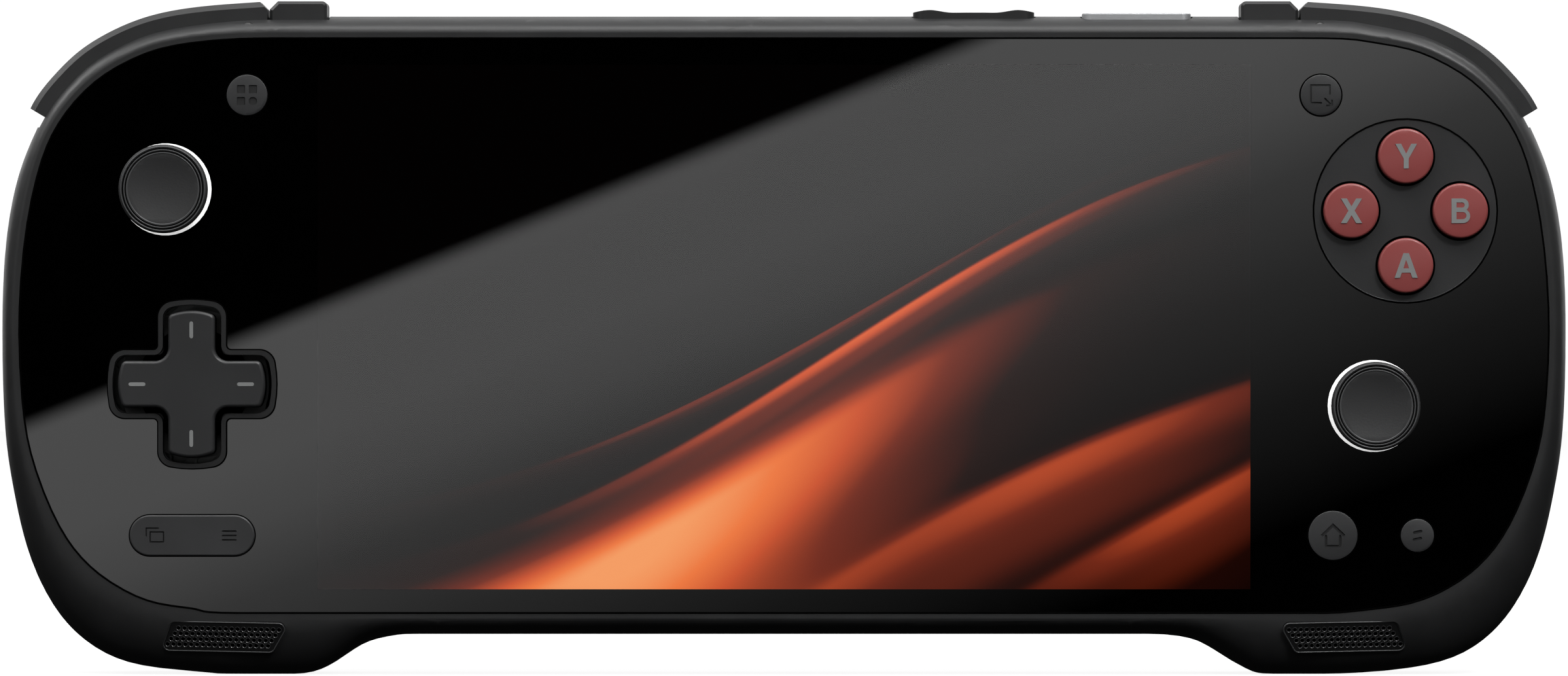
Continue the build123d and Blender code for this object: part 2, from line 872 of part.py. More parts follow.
# Rear shell
with BuildPart() as cover_form:
    with BuildSketch(at(split_depth)):
        add(body_outline())
    extrude(amount=-(body_depth - split_depth))
    fillet(cover_form.faces().sort_by(Axis.Y)[-1].edges(), back_round)
    left_bulge = ellipse_stack(0)
    add(left_bulge)
    add(left_bulge.mirror(Plane.YZ))

key_recess_deep = bumper_back + running_gap - split_depth
with BuildPart() as recess_form:
    with BuildSketch(at(split_depth)):
        add(recess_face(trigger_recess_inset, recess_wall, bumper_stations + 1, liner_end_share))
        add(key_face(trigger_recess_inset, recess_wall, crest))
    extrude(amount=-grip_depth)
    with BuildSketch(at(split_depth)):
        add(key_face(recess_inset, recess_wall, inner_key_end - slit))
    extrude(amount=-(key_recess_deep + recess_wall))

with BuildPart() as cover_liner:
    add(cover_form.part)
    add(recess_form.part, mode=Mode.INTERSECT)

with BuildPart() as rear_cover:
    add(cover_form.part)
    with BuildSketch(at(split_depth)):
        add(body_outline(growth=-shell_wall))
    extrude(amount=-(back_inner - split_depth), mode=Mode.SUBTRACT)
    left_hollow = ellipse_stack(shell_wall)
    add(left_hollow, mode=Mode.SUBTRACT)
    add(left_hollow.mirror(Plane.YZ), mode=Mode.SUBTRACT)
    add(cover_liner.part)
    with BuildSketch(at(split_depth)):
        add(recess_face(trigger_recess_inset, 0, bumper_stations, recess_end_share))
    extrude(amount=-grip_depth, mode=Mode.SUBTRACT)
    with BuildSketch(at(split_depth)):
        add(key_face(recess_inset, 0, inner_key_end - slit))
    extrude(amount=-key_recess_deep, mode=Mode.SUBTRACT)
    # Ears of the trigger pins
    for side in (-1, 1):
        for ear_x in (trigger_pin_inner, trigger_pin_outer - ear_wide):
            low, high = sorted((side * ear_x, side * (ear_x + ear_wide)))
            pin_place = (trigger_pin_depth, trigger_pin_z)
            foot_z = trigger_pin_z - trigger_pin_inset * 3 / 4
            add(crosswise(pin_place, ear_r, low, high))
            foot = level_box(
                (low, trigger_pin_depth - ear_r, foot_z),
                (high, trigger_pin_depth + ear_r, trigger_pin_z),
            )
            add(foot)
            hole = crosswise(pin_place, pin_r + pin_gap, low, high)
            add(hole, mode=Mode.SUBTRACT)
    # Case screw bosses, with their counterbored holes
    add(disc(case_places, case_boss_r, case_boss_end + case_boss_gap, back_inner))
    add(
        disc(case_places, case_screw_r + case_screw_gap, split_depth, body_depth + overrun),
        mode=Mode.SUBTRACT,
    )
    add(
        disc(
            case_places, case_head_r + case_screw_gap, case_head_back - case_head,
            body_depth + overrun,
        ),
        mode=Mode.SUBTRACT,
    )
    # Air grille opening and shelf of the top keys
    add(
        level_box(
            (-grille_outer - seat_gap, grille_front - seat_gap, top_inner - overrun),
            (-grille_inner + seat_gap, grille_front + grille_wide + seat_gap, body_height + overrun),
        ),
        mode=Mode.SUBTRACT,
    )
    add(
        level_box(
            (volume_centre - volume_long / 2, plate_back + running_gap, shelf_top - shelf_thick),
            (power_centre + power_long / 2, back_inner, shelf_top),
        )
    )
    with BuildSketch(above(top_inner - seat_gap)):
        add(key_openings())
    extrude(amount=overrun, mode=Mode.SUBTRACT)
    # Openings of the ports in the chin
    with BuildSketch(above(chin_lift - overrun)):
        with Locations((0, glass_y + usb_depth)):
            SlotOverall(usb_wide + 2 * port_gap, usb_tall + 2 * port_gap)
        with Locations((jack_x, glass_y + jack_depth)):
            Circle(jack_barrel_r + port_gap)
        with Locations((card_x, glass_y + card_depth)):
            Rectangle(card_mouth_wide + 2 * port_gap, card_mouth_tall + 2 * port_gap)
    extrude(amount=overrun + shell_wall + seat_gap, mode=Mode.SUBTRACT)
    # Air intake in the back
    with BuildSketch(at(back_inner - seat_gap)):
        for row in range(intake_rows):
            reach = row - (intake_rows - 1) / 2
            row_z = fan_z + reach * 2 * intake_r / intake_rows
            half_row = math.sqrt(intake_r**2 - (row_z - fan_z) ** 2)
            with Locations((fan_x, row_z)):
                SlotOverall(2 * half_row, 2 * intake_slot_r)
    extrude(amount=-(shell_wall + overrun), mode=Mode.SUBTRACT)
save(rear_cover.part, "rear_cover")

# Cover glass
with BuildPart() as front_glass:
    with BuildSketch(at(0)):
        add(glass_outline())
        add(
            control_face(ring_r + seat_gap, face_plate_r + seat_gap, dpad_gap + bezel_band + seat_gap),
            mode=Mode.SUBTRACT,
        )
    extrude(amount=-glass_thick)
save(front_glass.part, "front_glass")

# Display panel, laminated to the glass
with BuildPart() as display_panel:
    add(
        level_box(
            (-window_half + window_gap, glass_thick, window_bottom + window_gap),
            (window_half - window_gap, panel_back, window_top - window_gap),
        )
    )
save(display_panel.part, "display_panel")

# Mid plate behind the display, with two rims against the deck, bosses and standoffs
with BuildPart() as mid_plate:
    add(
        level_box(
            (-window_half - front_wall, panel_back, window_bottom),
            (window_half + front_wall, plate_back, window_top),
        )
    )
    for side in (-1, 1):
        low, high = sorted((side * window_half, side * (window_half + front_wall)))
        add(level_box((low, deck_back, window_bottom), (high, panel_back, window_top)))
    add(disc(case_places, case_boss_r, plate_back, case_boss_end))
    add(disc(main_places, standoff_r, plate_back, main_depth))
    add(
        disc(case_places, case_screw_r + pin_gap, case_boss_end - case_grip - seat_gap, main_depth),
        mode=Mode.SUBTRACT,
    )
    add(disc(main_places, screw_r + pin_gap, plate_back, main_depth), mode=Mode.SUBTRACT)
save(mid_plate.part, "mid_plate")

# Plate of the face buttons, its lip level with the glass and its boss in the deck
with BuildPart() as face_button_plate:
    add(disc([face_centre], face_plate_r, 0, glass_thick))
    add(disc([face_centre], face_plate_r - face_plate_lip - seat_gap, glass_thick, deck_back))
    add(
        disc(list(button_places.values()), button_hole_r, -overrun, deck_back + overrun),
        mode=Mode.SUBTRACT,
    )
save(face_button_plate.part, "face_button_plate")

# Raised rim of the cross pad
with BuildPart() as dpad_bezel:
    growth = dpad_gap + bezel_band
    with BuildSketch(at(-bezel_proud)):
        with Locations(dpad_centre):
            add(
                cross_face(
                    dpad_span + 2 * growth, dpad_arm + 2 * growth, bezel_corner, bezel_throat
                )
            )
            add(
                cross_face(
                    dpad_span + 2 * dpad_gap, dpad_arm + 2 * dpad_gap,
                    bezel_open_corner, bezel_open_throat,
                ),
                mode=Mode.SUBTRACT,
            )
    extrude(amount=-(bezel_proud + glass_thick))
save(dpad_bezel.part, "dpad_bezel")

# White rings of the sticks
with BuildPart() as stick_rings:
    add(disc([left_stick, right_stick], ring_r, -ring_proud, glass_thick))
    add(
        disc([left_stick, right_stick], ring_bore_r, -overrun, glass_thick + overrun),
        mode=Mode.SUBTRACT,
    )
save(stick_rings.part, "stick_rings")

# Perforated speaker grilles
with BuildPart() as speaker_grilles:
    for side in (-1, 1):
        with BuildSketch(grille_plane(side)):
            add(grille_face(0, side))
            for row in range(speaker_hole_rows):
                up = row - (speaker_hole_rows - 1) / 2
                with Locations((-side * speaker_hole_lean * up, up * speaker_row_pitch)):
                    with GridLocations(speaker_hole_pitch, 0, speaker_hole_columns, 1):
                        Circle(speaker_hole_r, mode=Mode.SUBTRACT)
        extrude(amount=-speaker_grille_thick)
save(speaker_grilles.part, "speaker_grilles")

# Speakers behind the grilles, each with a raised cone ring
with BuildPart() as speakers:
    speaker_front = deck_back + speaker_gap
    for side in (-1, 1):
        with BuildSketch(at(speaker_front)):
            with Locations((side * speaker_x, speaker_z)):
                RectangleRounded(speaker_wide, speaker_tall, speaker_tall / 4)
        extrude(amount=-speaker_thick)
        with BuildSketch(at(speaker_front)):
            with Locations((side * speaker_x, speaker_z)):
                SlotOverall(speaker_wide * 3 / 4, speaker_tall * 2 / 3)
        extrude(amount=-speaker_thick / 3, mode=Mode.SUBTRACT)
save(speakers.part, "speakers")

# Rumble motors on the back wall of the grips
with BuildPart() as rumble_motors:
    motor_back = grip_depth - shell_wall
    places = [(side * grip_x, grip_z) for side in (-1, 1)]
    add(disc(places, motor_r, motor_back - motor_thick, motor_back))
    add(disc(places, motor_r / 2, motor_back - motor_thick * 5 / 4, motor_back))
save(rumble_motors.part, "rumble_motors")

# Air grille in the top edge
with BuildPart() as exhaust_grille:
    add(
        level_box(
            (-grille_outer, grille_front, top_inner),
            (-grille_inner, grille_front + grille_wide, body_height),
        )
    )
    with BuildSketch(above(top_inner)):
        with Locations(
            (-(grille_outer + grille_inner) / 2, glass_y + grille_front + grille_wide / 2)
        ):
            with GridLocations((grille_outer - grille_inner) / grille_slots, 0, grille_slots, 1):
                SlotOverall(grille_wide - grille_slot_r, 2 * grille_slot_r, rotation=90)
    extrude(amount=shell_wall, mode=Mode.SUBTRACT)
save(exhaust_grille.part, "exhaust_grille")

# Mainboard, its ports, processor and battery
with BuildPart() as mainboard:
    add(level_box((main_left, main_depth, main_bottom), (main_right, main_back, main_top)))
    add(disc(main_places, screw_r + pin_gap, main_depth, main_back), mode=Mode.SUBTRACT)
save(mainboard.part, "mainboard")

with BuildPart() as processor:
    half_chip = chip_side / 2
    add(
        level_box(
            (chip_x - half_chip, main_back, chip_z - half_chip),
            (chip_x + half_chip, main_back + chip_tall, chip_z + half_chip),
        )
    )
    chamfer(processor.edges().filter_by(Axis.Y), chip_tall)
save(processor.part, "processor")

with BuildPart() as battery:
    add(
        level_box(
            (battery_left, plate_back, battery_bottom),
            (battery_right, plate_back + battery_thick, battery_top),
        )
    )
    fillet(battery.edges().filter_by(Axis.Z), battery_thick / 4)
save(battery.part, "battery")

with BuildPart() as usb_c_port:
    with BuildSketch(above(port_z)):
        with Locations((0, glass_y + usb_depth)):
            SlotOverall(usb_wide, usb_tall)
    extrude(amount=usb_long)
    with BuildSketch(above(port_z)):
        with Locations((0, glass_y + usb_depth)):
            SlotOverall(usb_wide - 2 * usb_wall, usb_tall - 2 * usb_wall)
            Rectangle(usb_wide - usb_tall, usb_tongue, mode=Mode.SUBTRACT)
    extrude(amount=usb_long - usb_wall * 3, mode=Mode.SUBTRACT)
save(usb_c_port.part, "usb_c_port")

with BuildPart() as headphone_jack:
    add(
        level_box(
            (jack_x - jack_wide / 2, main_back, chin_inner + seat_gap),
            (jack_x + jack_wide / 2, main_back + jack_deep, port_z + jack_long),
        )
    )
    add(upright((jack_x, jack_depth), jack_barrel_r - pin_gap, port_z, main_bottom - seat_gap))
    add(
        upright((jack_x, jack_depth), jack_bore_r, port_z - overrun, port_z + jack_bore_long),
        mode=Mode.SUBTRACT,
    )
save(headphone_jack.part, "headphone_jack")

with BuildPart() as card_slot:
    add(
        level_box(
            (card_x - card_wide / 2, main_back, chin_inner + seat_gap),
            (card_x + card_wide / 2, main_back + card_tall, port_z + card_long),
        )
    )
    mouth_low = card_depth - card_mouth_tall / 2
    add(
        level_box(
            (card_x - card_mouth_wide / 2, mouth_low, chin_inner - overrun),
            (card_x + card_mouth_wide / 2, mouth_low + card_mouth_tall, card_long),
        ),
        mode=Mode.SUBTRACT,
    )
save(card_slot.part, "card_slot")

# Blower, heat pipe, fins and dust mesh
fan_back = main_back + fan_thick
with BuildPart() as fan_housing:
    half_fan = fan_side / 2
    add(
        level_box(
            (fan_x - half_fan, main_back, fan_z - half_fan),
            (fan_x + half_fan, fan_back, fin_bottom),
        )
    )
    fillet(fan_housing.edges().filter_by(Axis.Y).group_by(Axis.Z)[0], fan_side / 5)
    add(
        disc([(fan_x, fan_z)], fan_r + rotor_gap, main_back + fan_wall, fan_back - fan_wall),
        mode=Mode.SUBTRACT,
    )
    add(
        level_box(
            (fan_x - fan_outlet / 2, main_back + fan_wall, fan_z),
            (fan_x + fan_outlet / 2, fan_back - fan_wall, fin_bottom + overrun),
        ),
        mode=Mode.SUBTRACT,
    )
    add(disc([(fan_x, fan_z)], fan_inlet_r, main_back + fan_wall, fan_back), mode=Mode.SUBTRACT)
    axle_back = fan_back - fan_wall - rotor_gap - running_gap
    add(disc([(fan_x, fan_z)], axle_r, main_back, axle_back))
save(fan_housing.part, "fan_housing")

with BuildPart() as fan_rotor:
    rotor_front, rotor_back = main_back + fan_wall + rotor_gap, fan_back - fan_wall - rotor_gap / 2
    add(disc([(fan_x, fan_z)], hub_r, rotor_front, rotor_back))
    with BuildSketch(at(rotor_front + rotor_gap / 2)):
        with Locations((fan_x, fan_z)):
            with PolarLocations(hub_r - blade_thick, blade_count):
                Rectangle(
                    fan_r - rotor_gap - hub_r, blade_thick, align=(Align.MIN, Align.CENTER)
                )
    extrude(amount=rotor_front + rotor_gap / 2 - rotor_back)
    add(
        disc([(fan_x, fan_z)], axle_r + pin_gap, rotor_front, axle_back + running_gap / 2),
        mode=Mode.SUBTRACT,
    )
save(fan_rotor.part, "fan_rotor")


def flat_pipe(growth):
    """Flattened pipe from the processor up and along the fins, grown by a distance."""
    with BuildPart() as pipe:
        with BuildSketch(at(pipe_front - growth)):
            with BuildLine():
                FilletPolyline(
                    (pipe_start_x, chip_z), (pipe_x, chip_z), (pipe_x, pipe_z),
                    (pipe_end_x - growth, pipe_z), radius=pipe_bend,
                )
            trace(line_width=pipe_wide + 2 * growth)
        extrude(amount=-(pipe_thick + 2 * growth))
    return pipe.part


with BuildPart() as heat_pipe:
    add(flat_pipe(0))
save(heat_pipe.part, "heat_pipe")

with BuildPart() as heat_sink:
    fin_top = top_inner - fin_gap
    fin_pitch = (fin_right - fin_left - fin_thick) / (fin_count - 1)
    for index in range(fin_count):
        x = fin_left + index * fin_pitch
        add(
            level_box(
                (x, main_back, fin_bottom + fin_gap),
                (x + fin_thick, main_back + fin_deep, fin_top),
            )
        )
    add(
        level_box(
            (fin_left, main_back + fin_deep - fin_plate, fin_bottom + fin_gap),
            (fin_right, main_back + fin_deep, fin_top),
        )
    )
    add(flat_pipe(seat_gap), mode=Mode.SUBTRACT)
save(heat_sink.part, "heat_sink")

with BuildPart() as intake_mesh:
    add(disc([(fan_x, fan_z)], intake_r + mesh_margin, back_inner - mesh_thick, back_inner))
save(intake_mesh.part, "intake_mesh")

# Control boards, each with cut-outs for its stick module
module_places = {"left": left_stick, "right": right_stick}
board_bosses = {"left": left_board_bosses, "right": right_board_bosses}
for word, side in (("left", -1), ("right", 1)):
    with BuildPart() as control_board:
        with BuildSketch(at(board_depth)):
            with BuildLine():
                Polyline(
                    (side * board_inner, board_bottom),
                    (side * (board_outer - board_cut), board_bottom),
                    (side * board_outer, board_bottom + board_cut),
                    (side * board_outer, board_corner_z),
                    (side * board_corner_x, board_top),
                    (side * board_inner, board_top),
                    close=True,
                )
            make_face()
            with Locations(module_places[word]):
                Rectangle(
                    module_side + 2 * running_gap, module_side + 2 * running_gap,
                    mode=Mode.SUBTRACT,
                )
            with Locations(*board_bosses[word]):
                Circle(screw_r + pin_gap, mode=Mode.SUBTRACT)
        extrude(amount=-board_thick)
    save(control_board.part, f"{word}_control_board")

# Stick modules: housing, yoke, pivot, shaft with its skirt, and cap
for word, (stick_x, stick_z) in module_places.items():
    half_module = module_side / 2
    cavity = half_module - module_wall
    with BuildPart() as module:
        add(
            level_box(
                (stick_x - half_module, module_front, stick_z - half_module),
                (stick_x + half_module, module_back, stick_z + half_module),
            )
        )
        add(
            level_box(
                (stick_x - half_module, board_back, stick_z - half_module - ear_reach),
                (stick_x + half_module, board_back + ear_thick, stick_z + half_module + ear_reach),
            )
        )
        add(
            level_box(
                (stick_x - cavity, module_front + module_wall, stick_z - cavity),
                (stick_x + cavity, module_back - module_wall, stick_z + cavity),
            ),
            mode=Mode.SUBTRACT,
        )
        mouth = disc([(stick_x, stick_z)], module_mouth_r, deck_back, module_front + module_wall)
        add(mouth, mode=Mode.SUBTRACT)
        bearing = crosswise(
            (tilt_depth, stick_z), trunnion_r + pin_gap, stick_x - half_module,
            stick_x + half_module,
        )
        add(bearing, mode=Mode.SUBTRACT)
    save(module.part, f"{word}_stick_module")

    half_yoke = yoke_side / 2
    half_gap = half_yoke - yoke_bar
    with BuildPart() as yoke:
        add(
            level_box(
                (stick_x - half_yoke, tilt_depth - yoke_thick / 2, stick_z - half_yoke),
                (stick_x + half_yoke, tilt_depth + yoke_thick / 2, stick_z + half_yoke),
            )
        )
        trunnion_end = half_module - module_wall / 4
        add(
            crosswise(
                (tilt_depth, stick_z), trunnion_r, stick_x - trunnion_end, stick_x + trunnion_end
            )
        )
        add(
            level_box(
                (stick_x - half_gap, tilt_depth - yoke_thick, stick_z - half_gap),
                (stick_x + half_gap, tilt_depth + yoke_thick, stick_z + half_gap),
            ),
            mode=Mode.SUBTRACT,
        )
        add(
            upright(
                (stick_x, tilt_depth), trunnion_r + pin_gap, stick_z - half_yoke,
                stick_z + half_yoke,
            ),
            mode=Mode.SUBTRACT,
        )
    save(yoke.part, f"{word}_stick_yoke")

    with BuildPart() as pivot:
        half_pivot = pivot_thick / 2
        add(disc([(stick_x, stick_z)], pivot_r, tilt_depth - half_pivot, tilt_depth + half_pivot))
        add(
            upright(
                (stick_x, tilt_depth), trunnion_r, stick_z - half_yoke + seat_gap,
                stick_z + half_yoke - seat_gap,
            )
        )
        add(
            disc(
                [(stick_x, stick_z)], shaft_r + pin_gap, tilt_depth - pivot_thick,
                tilt_depth + pivot_thick,
            ),
            mode=Mode.SUBTRACT,
        )
    save(pivot.part, f"{word}_stick_pivot")

    cap_back = cap_edge - stick_height
    stem_end = cap_back - cap_edge / 3
    with BuildPart() as shaft:
        half_skirt = math.radians(skirt_angle)
        skirt_mid = math.radians(skirt_angle / 2)
        inner_r = skirt_r - skirt_wall
        with BuildSketch(level_plane((stick_x, stick_z), tilt_depth)):
            with BuildLine():
                Line((0, -skirt_r), (0, -inner_r))
                ThreePointArc(
                    (0, -inner_r),
                    (inner_r * math.sin(skirt_mid), -inner_r * math.cos(skirt_mid)),
                    (inner_r * math.sin(half_skirt), -inner_r * math.cos(half_skirt)),
                )
                Line(
                    (inner_r * math.sin(half_skirt), -inner_r * math.cos(half_skirt)),
                    (skirt_r * math.sin(half_skirt), -skirt_r * math.cos(half_skirt)),
                )
                ThreePointArc(
                    (skirt_r * math.sin(half_skirt), -skirt_r * math.cos(half_skirt)),
                    (skirt_r * math.sin(skirt_mid), -skirt_r * math.cos(skirt_mid)),
                    (0, -skirt_r),
                )
            make_face()
        revolve(axis=Axis((stick_x, glass_y, stick_z), (0, 1, 0)))
        add(disc([(stick_x, stick_z)], stem_r, stem_end, tilt_depth - skirt_r + skirt_wall))
        add(disc([(stick_x, stick_z)], shaft_r, stem_end, tilt_depth + shaft_tail))
    save(shaft.part, f"{word}_stick_shaft")

    with BuildPart() as cap:
        add(disc([(stick_x, stick_z)], cap_r, -stick_height, cap_back))
        fillet(cap.edges().group_by(Axis.Y)[0], cap_edge / 4)
        dish_r = (cap_dish_r**2 + cap_dish**2) / (2 * cap_dish)
        with Locations((stick_x, glass_y - stick_height + cap_dish - dish_r, stick_z)):
            Sphere(dish_r, mode=Mode.SUBTRACT)
        with BuildSketch(at(-stick_height)):
            with Locations((stick_x, stick_z)):
                for share in (1 / 3, 2 / 3):
                    ring_at = cap_dish_r + (cap_r - cap_dish_r) * share
                    Circle(ring_at)
                    Circle(ring_at - groove, mode=Mode.SUBTRACT)
        extrude(amount=-2 * groove, mode=Mode.SUBTRACT)
        add(disc([(stick_x, stick_z)], stem_r + cap_edge / 2, cap_back, cap_back + cap_edge / 2))
        add(disc([(stick_x, stick_z)], stem_r, stem_end, cap_back + cap_edge), mode=Mode.SUBTRACT)
    save(cap.part, f"{word}_stick_cap")

# Cross pad, the seat that it tilts on and its membrane
pad_flange_front = deck_back + dpad_drop
pad_flange_back = pad_flange_front + dpad_flange_thick
seat_front = membrane_front - dpad_seat_lift - dpad_seat_thick
with BuildPart() as dpad:
    with BuildSketch(at(-dpad_proud)):
        with Locations(dpad_centre):
            add(cross_face(dpad_span, dpad_arm, dpad_corner, dpad_throat))
    extrude(amount=-(dpad_proud + deck_back))
    fillet(dpad.faces().sort_by(Axis.Y)[0].edges(), dpad_edge)
    add(disc([dpad_centre], dpad_flange_r / 2, 0, pad_flange_back))
    add(disc([dpad_centre], dpad_flange_r, pad_flange_front, pad_flange_back))
    add(disc([dpad_centre], dpad_post_r, pad_flange_back, seat_front - dpad_seat_gap))
save(dpad.part, "dpad")

with BuildPart() as dpad_seat:
    add(disc([dpad_centre], dpad_seat_r, seat_front, seat_front + dpad_seat_thick))
save(dpad_seat.part, "dpad_seat")

with BuildPart() as dpad_membrane:
    add(disc([dpad_centre], dpad_membrane_r, membrane_front, board_depth))
    domes = [
        (dpad_centre[0] + dpad_dome_at * x, dpad_centre[1] + dpad_dome_at * z)
        for x, z in ((1, 0), (0, 1), (-1, 0), (0, -1))
    ]
    add(disc(domes, dpad_dome_r, pad_flange_back + dpad_lift, membrane_front))
save(dpad_membrane.part, "dpad_membrane")

# Face buttons and their membrane
flange_back = flange_front + button_flange_thick
for name, place in button_places.items():
    with BuildPart() as button:
        add(crowned(place, button_r, -button_proud, button_dome, button_edge, flange_back))
        add(disc([place], button_r + button_lip, flange_front, flange_back))
    save(button.part, name)

with BuildPart() as face_button_membrane:
    add(disc([face_centre], face_membrane_r, membrane_front, board_depth))
    dome_top = flange_back + button_travel + switch_gap
    add(disc(list(button_places.values()), dome_r, dome_top, membrane_front))
save(face_button_membrane.part, "face_button_membrane")

# Small round buttons
for name, place, radius in small_buttons:
    with BuildPart() as button:
        small_back = flange_front + small_flange_thick
        add(crowned(place, radius, -small_proud, small_dome, small_dome / 2, small_back))
        add(disc([place], radius + small_lip, flange_front, small_back))
        add(disc([place], small_stem_r, small_back, small_stem_end))
    save(button.part, name)

# Pill-shaped rocker
rocker_front = deck_back + rocker_tilt_room
rocker_places = [(rocker_centre[0] + side * rocker_stem_at, rocker_centre[1]) for side in (-1, 1)]
with BuildPart() as option_rocker:
    with BuildSketch(at(-rocker_proud)):
        with Locations(rocker_centre):
            SlotOverall(rocker_wide, rocker_tall)
    extrude(amount=-(rocker_proud + rocker_front))
    fillet(option_rocker.faces().sort_by(Axis.Y)[0].edges(), rocker_edge)
    with BuildSketch(at(rocker_front)):
        with Locations(rocker_centre):
            SlotOverall(rocker_wide + 2 * rocker_lip, rocker_tall + 2 * rocker_lip)
    extrude(amount=-small_flange_thick)
    add(
        disc(
            rocker_places, small_stem_r, rocker_front + small_flange_thick,
            nub_depth - rocker_tilt_room / 2 - switch_gap,
        )
    )
save(option_rocker.part, "option_rocker")

# Shoulder bumpers, each turning on a pin at its inner end
pins = []
for word, side in (("left", -1), ("right", 1)):
    pin_place = (side * bumper_pin_x, bumper_pin_z)
    with BuildPart() as bumper:
        with BuildSketch(at(key_front)):
            add(band(bumper_stations, key_proud, key_proud - bumper_thick, tip_share, side))
        extrude(amount=key_front - bumper_back)
        chamfer(bumper.faces().sort_by(Axis.Y)[0].edges().sort_by(SortBy.LENGTH)[-1], bumper_chamfer)
        add(disc([pin_place], lug_r, key_front + running_gap, bumper_back))
        pin_hole = disc([pin_place], pin_r + pin_gap, deck_back, bumper_back + overrun)
        add(pin_hole, mode=Mode.SUBTRACT)
        with BuildSketch(at(key_front - overrun)):
            with Locations((side * crest, key_top)):
                Rectangle(notch * math.sqrt(2), notch * math.sqrt(2), rotation=45)
        extrude(amount=key_front - overrun - bumper_back - overrun, mode=Mode.SUBTRACT)
        rib_low = seat_gap + switch_body + switch_nub + bumper_travel + switch_gap
        with BuildSketch(floor_plane(side, rib_low)):
            Rectangle(2 * switch_nub_r, 2 * switch_nub_r)
        extrude(amount=recess_inset - bumper_thick / 2 - rib_low)
    save(bumper.part, f"{word}_bumper")
    pins.append(disc([pin_place], pin_r, glass_thick + seat_gap, bumper_back))

# Small keys beside the bumpers
for word, side in (("left", -1), ("right", 1)):
    with BuildPart() as inner_key:
        with BuildSketch(at(key_front)):
            with Locations((side * inner_key_mid, inner_key_bottom)):
                Rectangle(
                    crest - slit - inner_key_end, inner_key_thick, align=(Align.CENTER, Align.MIN)
                )
        extrude(amount=key_front - bumper_back)
        upper = inner_key.edges().filter_by(Axis.Y).group_by(Axis.Z)[-1].sort_by(Axis.X)
        near, far = (upper[0], upper[-1]) if side > 0 else (upper[-1], upper[0])
        fillet(near, inner_key_round)
        chamfer(far, notch)
        rim = inner_key.faces().sort_by(Axis.Y)[0].edges().sort_by(Axis.Z)[1:]
        chamfer(rim, bumper_chamfer / 2)
        post_low = key_nub_top + inner_key_travel + switch_gap
        post_top = key_top - inner_key_thick / 2
        add(upright((side * inner_key_mid, recess_mid), switch_nub_r, post_low, post_top))
    save(inner_key.part, f"{word}_inner_key")


def trigger_profile(inset):
    """Points of the trigger's curved back, from its top front edge to its tip."""
    reach = trigger_reach - inset - trigger_front
    rise = key_top - trigger_inset - inset - trigger_tip
    return [
        (glass_y + trigger_front + across_share * reach, trigger_tip + up_share * rise)
        for across_share, up_share in trigger_shares
    ]


def corner_face(distance, low, side):
    """Face under the body's upper corner, from the crest out to a distance from its edge."""
    row = grown(body_side(), distance)[: bumper_stations]
    points = [(-side * x, z) for x, z in row]
    with BuildSketch() as face:
        with BuildLine():
            Spline(*points)
            Polyline(points[-1], (points[-1][0], low), (points[0][0], low), points[0])
        make_face()
    return face.sketch


# Triggers behind the bumpers: curved caps that turn about a pin along X
for word, side in (("left", -1), ("right", 1)):
    low, high = sorted((side * trigger_inner, side * trigger_outer))
    curve = trigger_profile(0)
    hollow = trigger_profile(trigger_thick)
    under = trigger_tip - trigger_thick * 2
    with BuildPart() as trigger_hollow:
        with BuildSketch(across(low - overrun)):
            with BuildLine():
                Spline(*hollow)
                Polyline(
                    hollow[-1], (hollow[-1][0], under), (hollow[0][0] - overrun, under),
                    (hollow[0][0] - overrun, hollow[0][1]), hollow[0],
                )
            make_face()
        extrude(amount=high - low + 2 * overrun)
        with BuildSketch(at(0)):
            add(corner_face(key_proud - trigger_inset - trigger_thick, under - overrun, side))
        extrude(amount=-grip_depth, mode=Mode.INTERSECT)
    with BuildPart() as trigger:
        with BuildSketch(across(low)):
            with BuildLine():
                Spline(*curve)
                Polyline(curve[-1], (curve[0][0] + trigger_slant, curve[-1][1]), curve[0])
            make_face()
        extrude(amount=high - low)
        with BuildSketch(at(0)):
            add(corner_face(key_proud - trigger_inset, under, side))
        extrude(amount=-grip_depth, mode=Mode.INTERSECT)
        add(trigger_hollow.part, mode=Mode.SUBTRACT)
        first_lug = trigger_inner
        second_lug = trigger_pin_outer - ear_wide - running_gap - trigger_lug_wide
        for lug_x in (first_lug, second_lug):
            lug_low, lug_high = sorted((side * lug_x, side * (lug_x + trigger_lug_wide)))
            place = (trigger_pin_depth, trigger_pin_z)
            add(crosswise(place, lug_r, lug_low, lug_high))
            web = level_box(
                (lug_low, trigger_pin_depth - lug_r, trigger_pin_z),
                (lug_high, trigger_pin_depth + lug_r, key_top - trigger_inset - trigger_thick),
            )
            add(web)
            hole = crosswise(place, pin_r + pin_gap, lug_low, lug_high)
            add(hole, mode=Mode.SUBTRACT)
    save(trigger.part, f"{word}_trigger")
    pin_low, pin_high = sorted((side * trigger_pin_inner, side * trigger_pin_outer))
    pins.append(crosswise((trigger_pin_depth, trigger_pin_z), pin_r, pin_low, pin_high))

with BuildPart() as shoulder_pins:
    for pin in pins:
        add(pin)
save(shoulder_pins.part, "shoulder_pins")

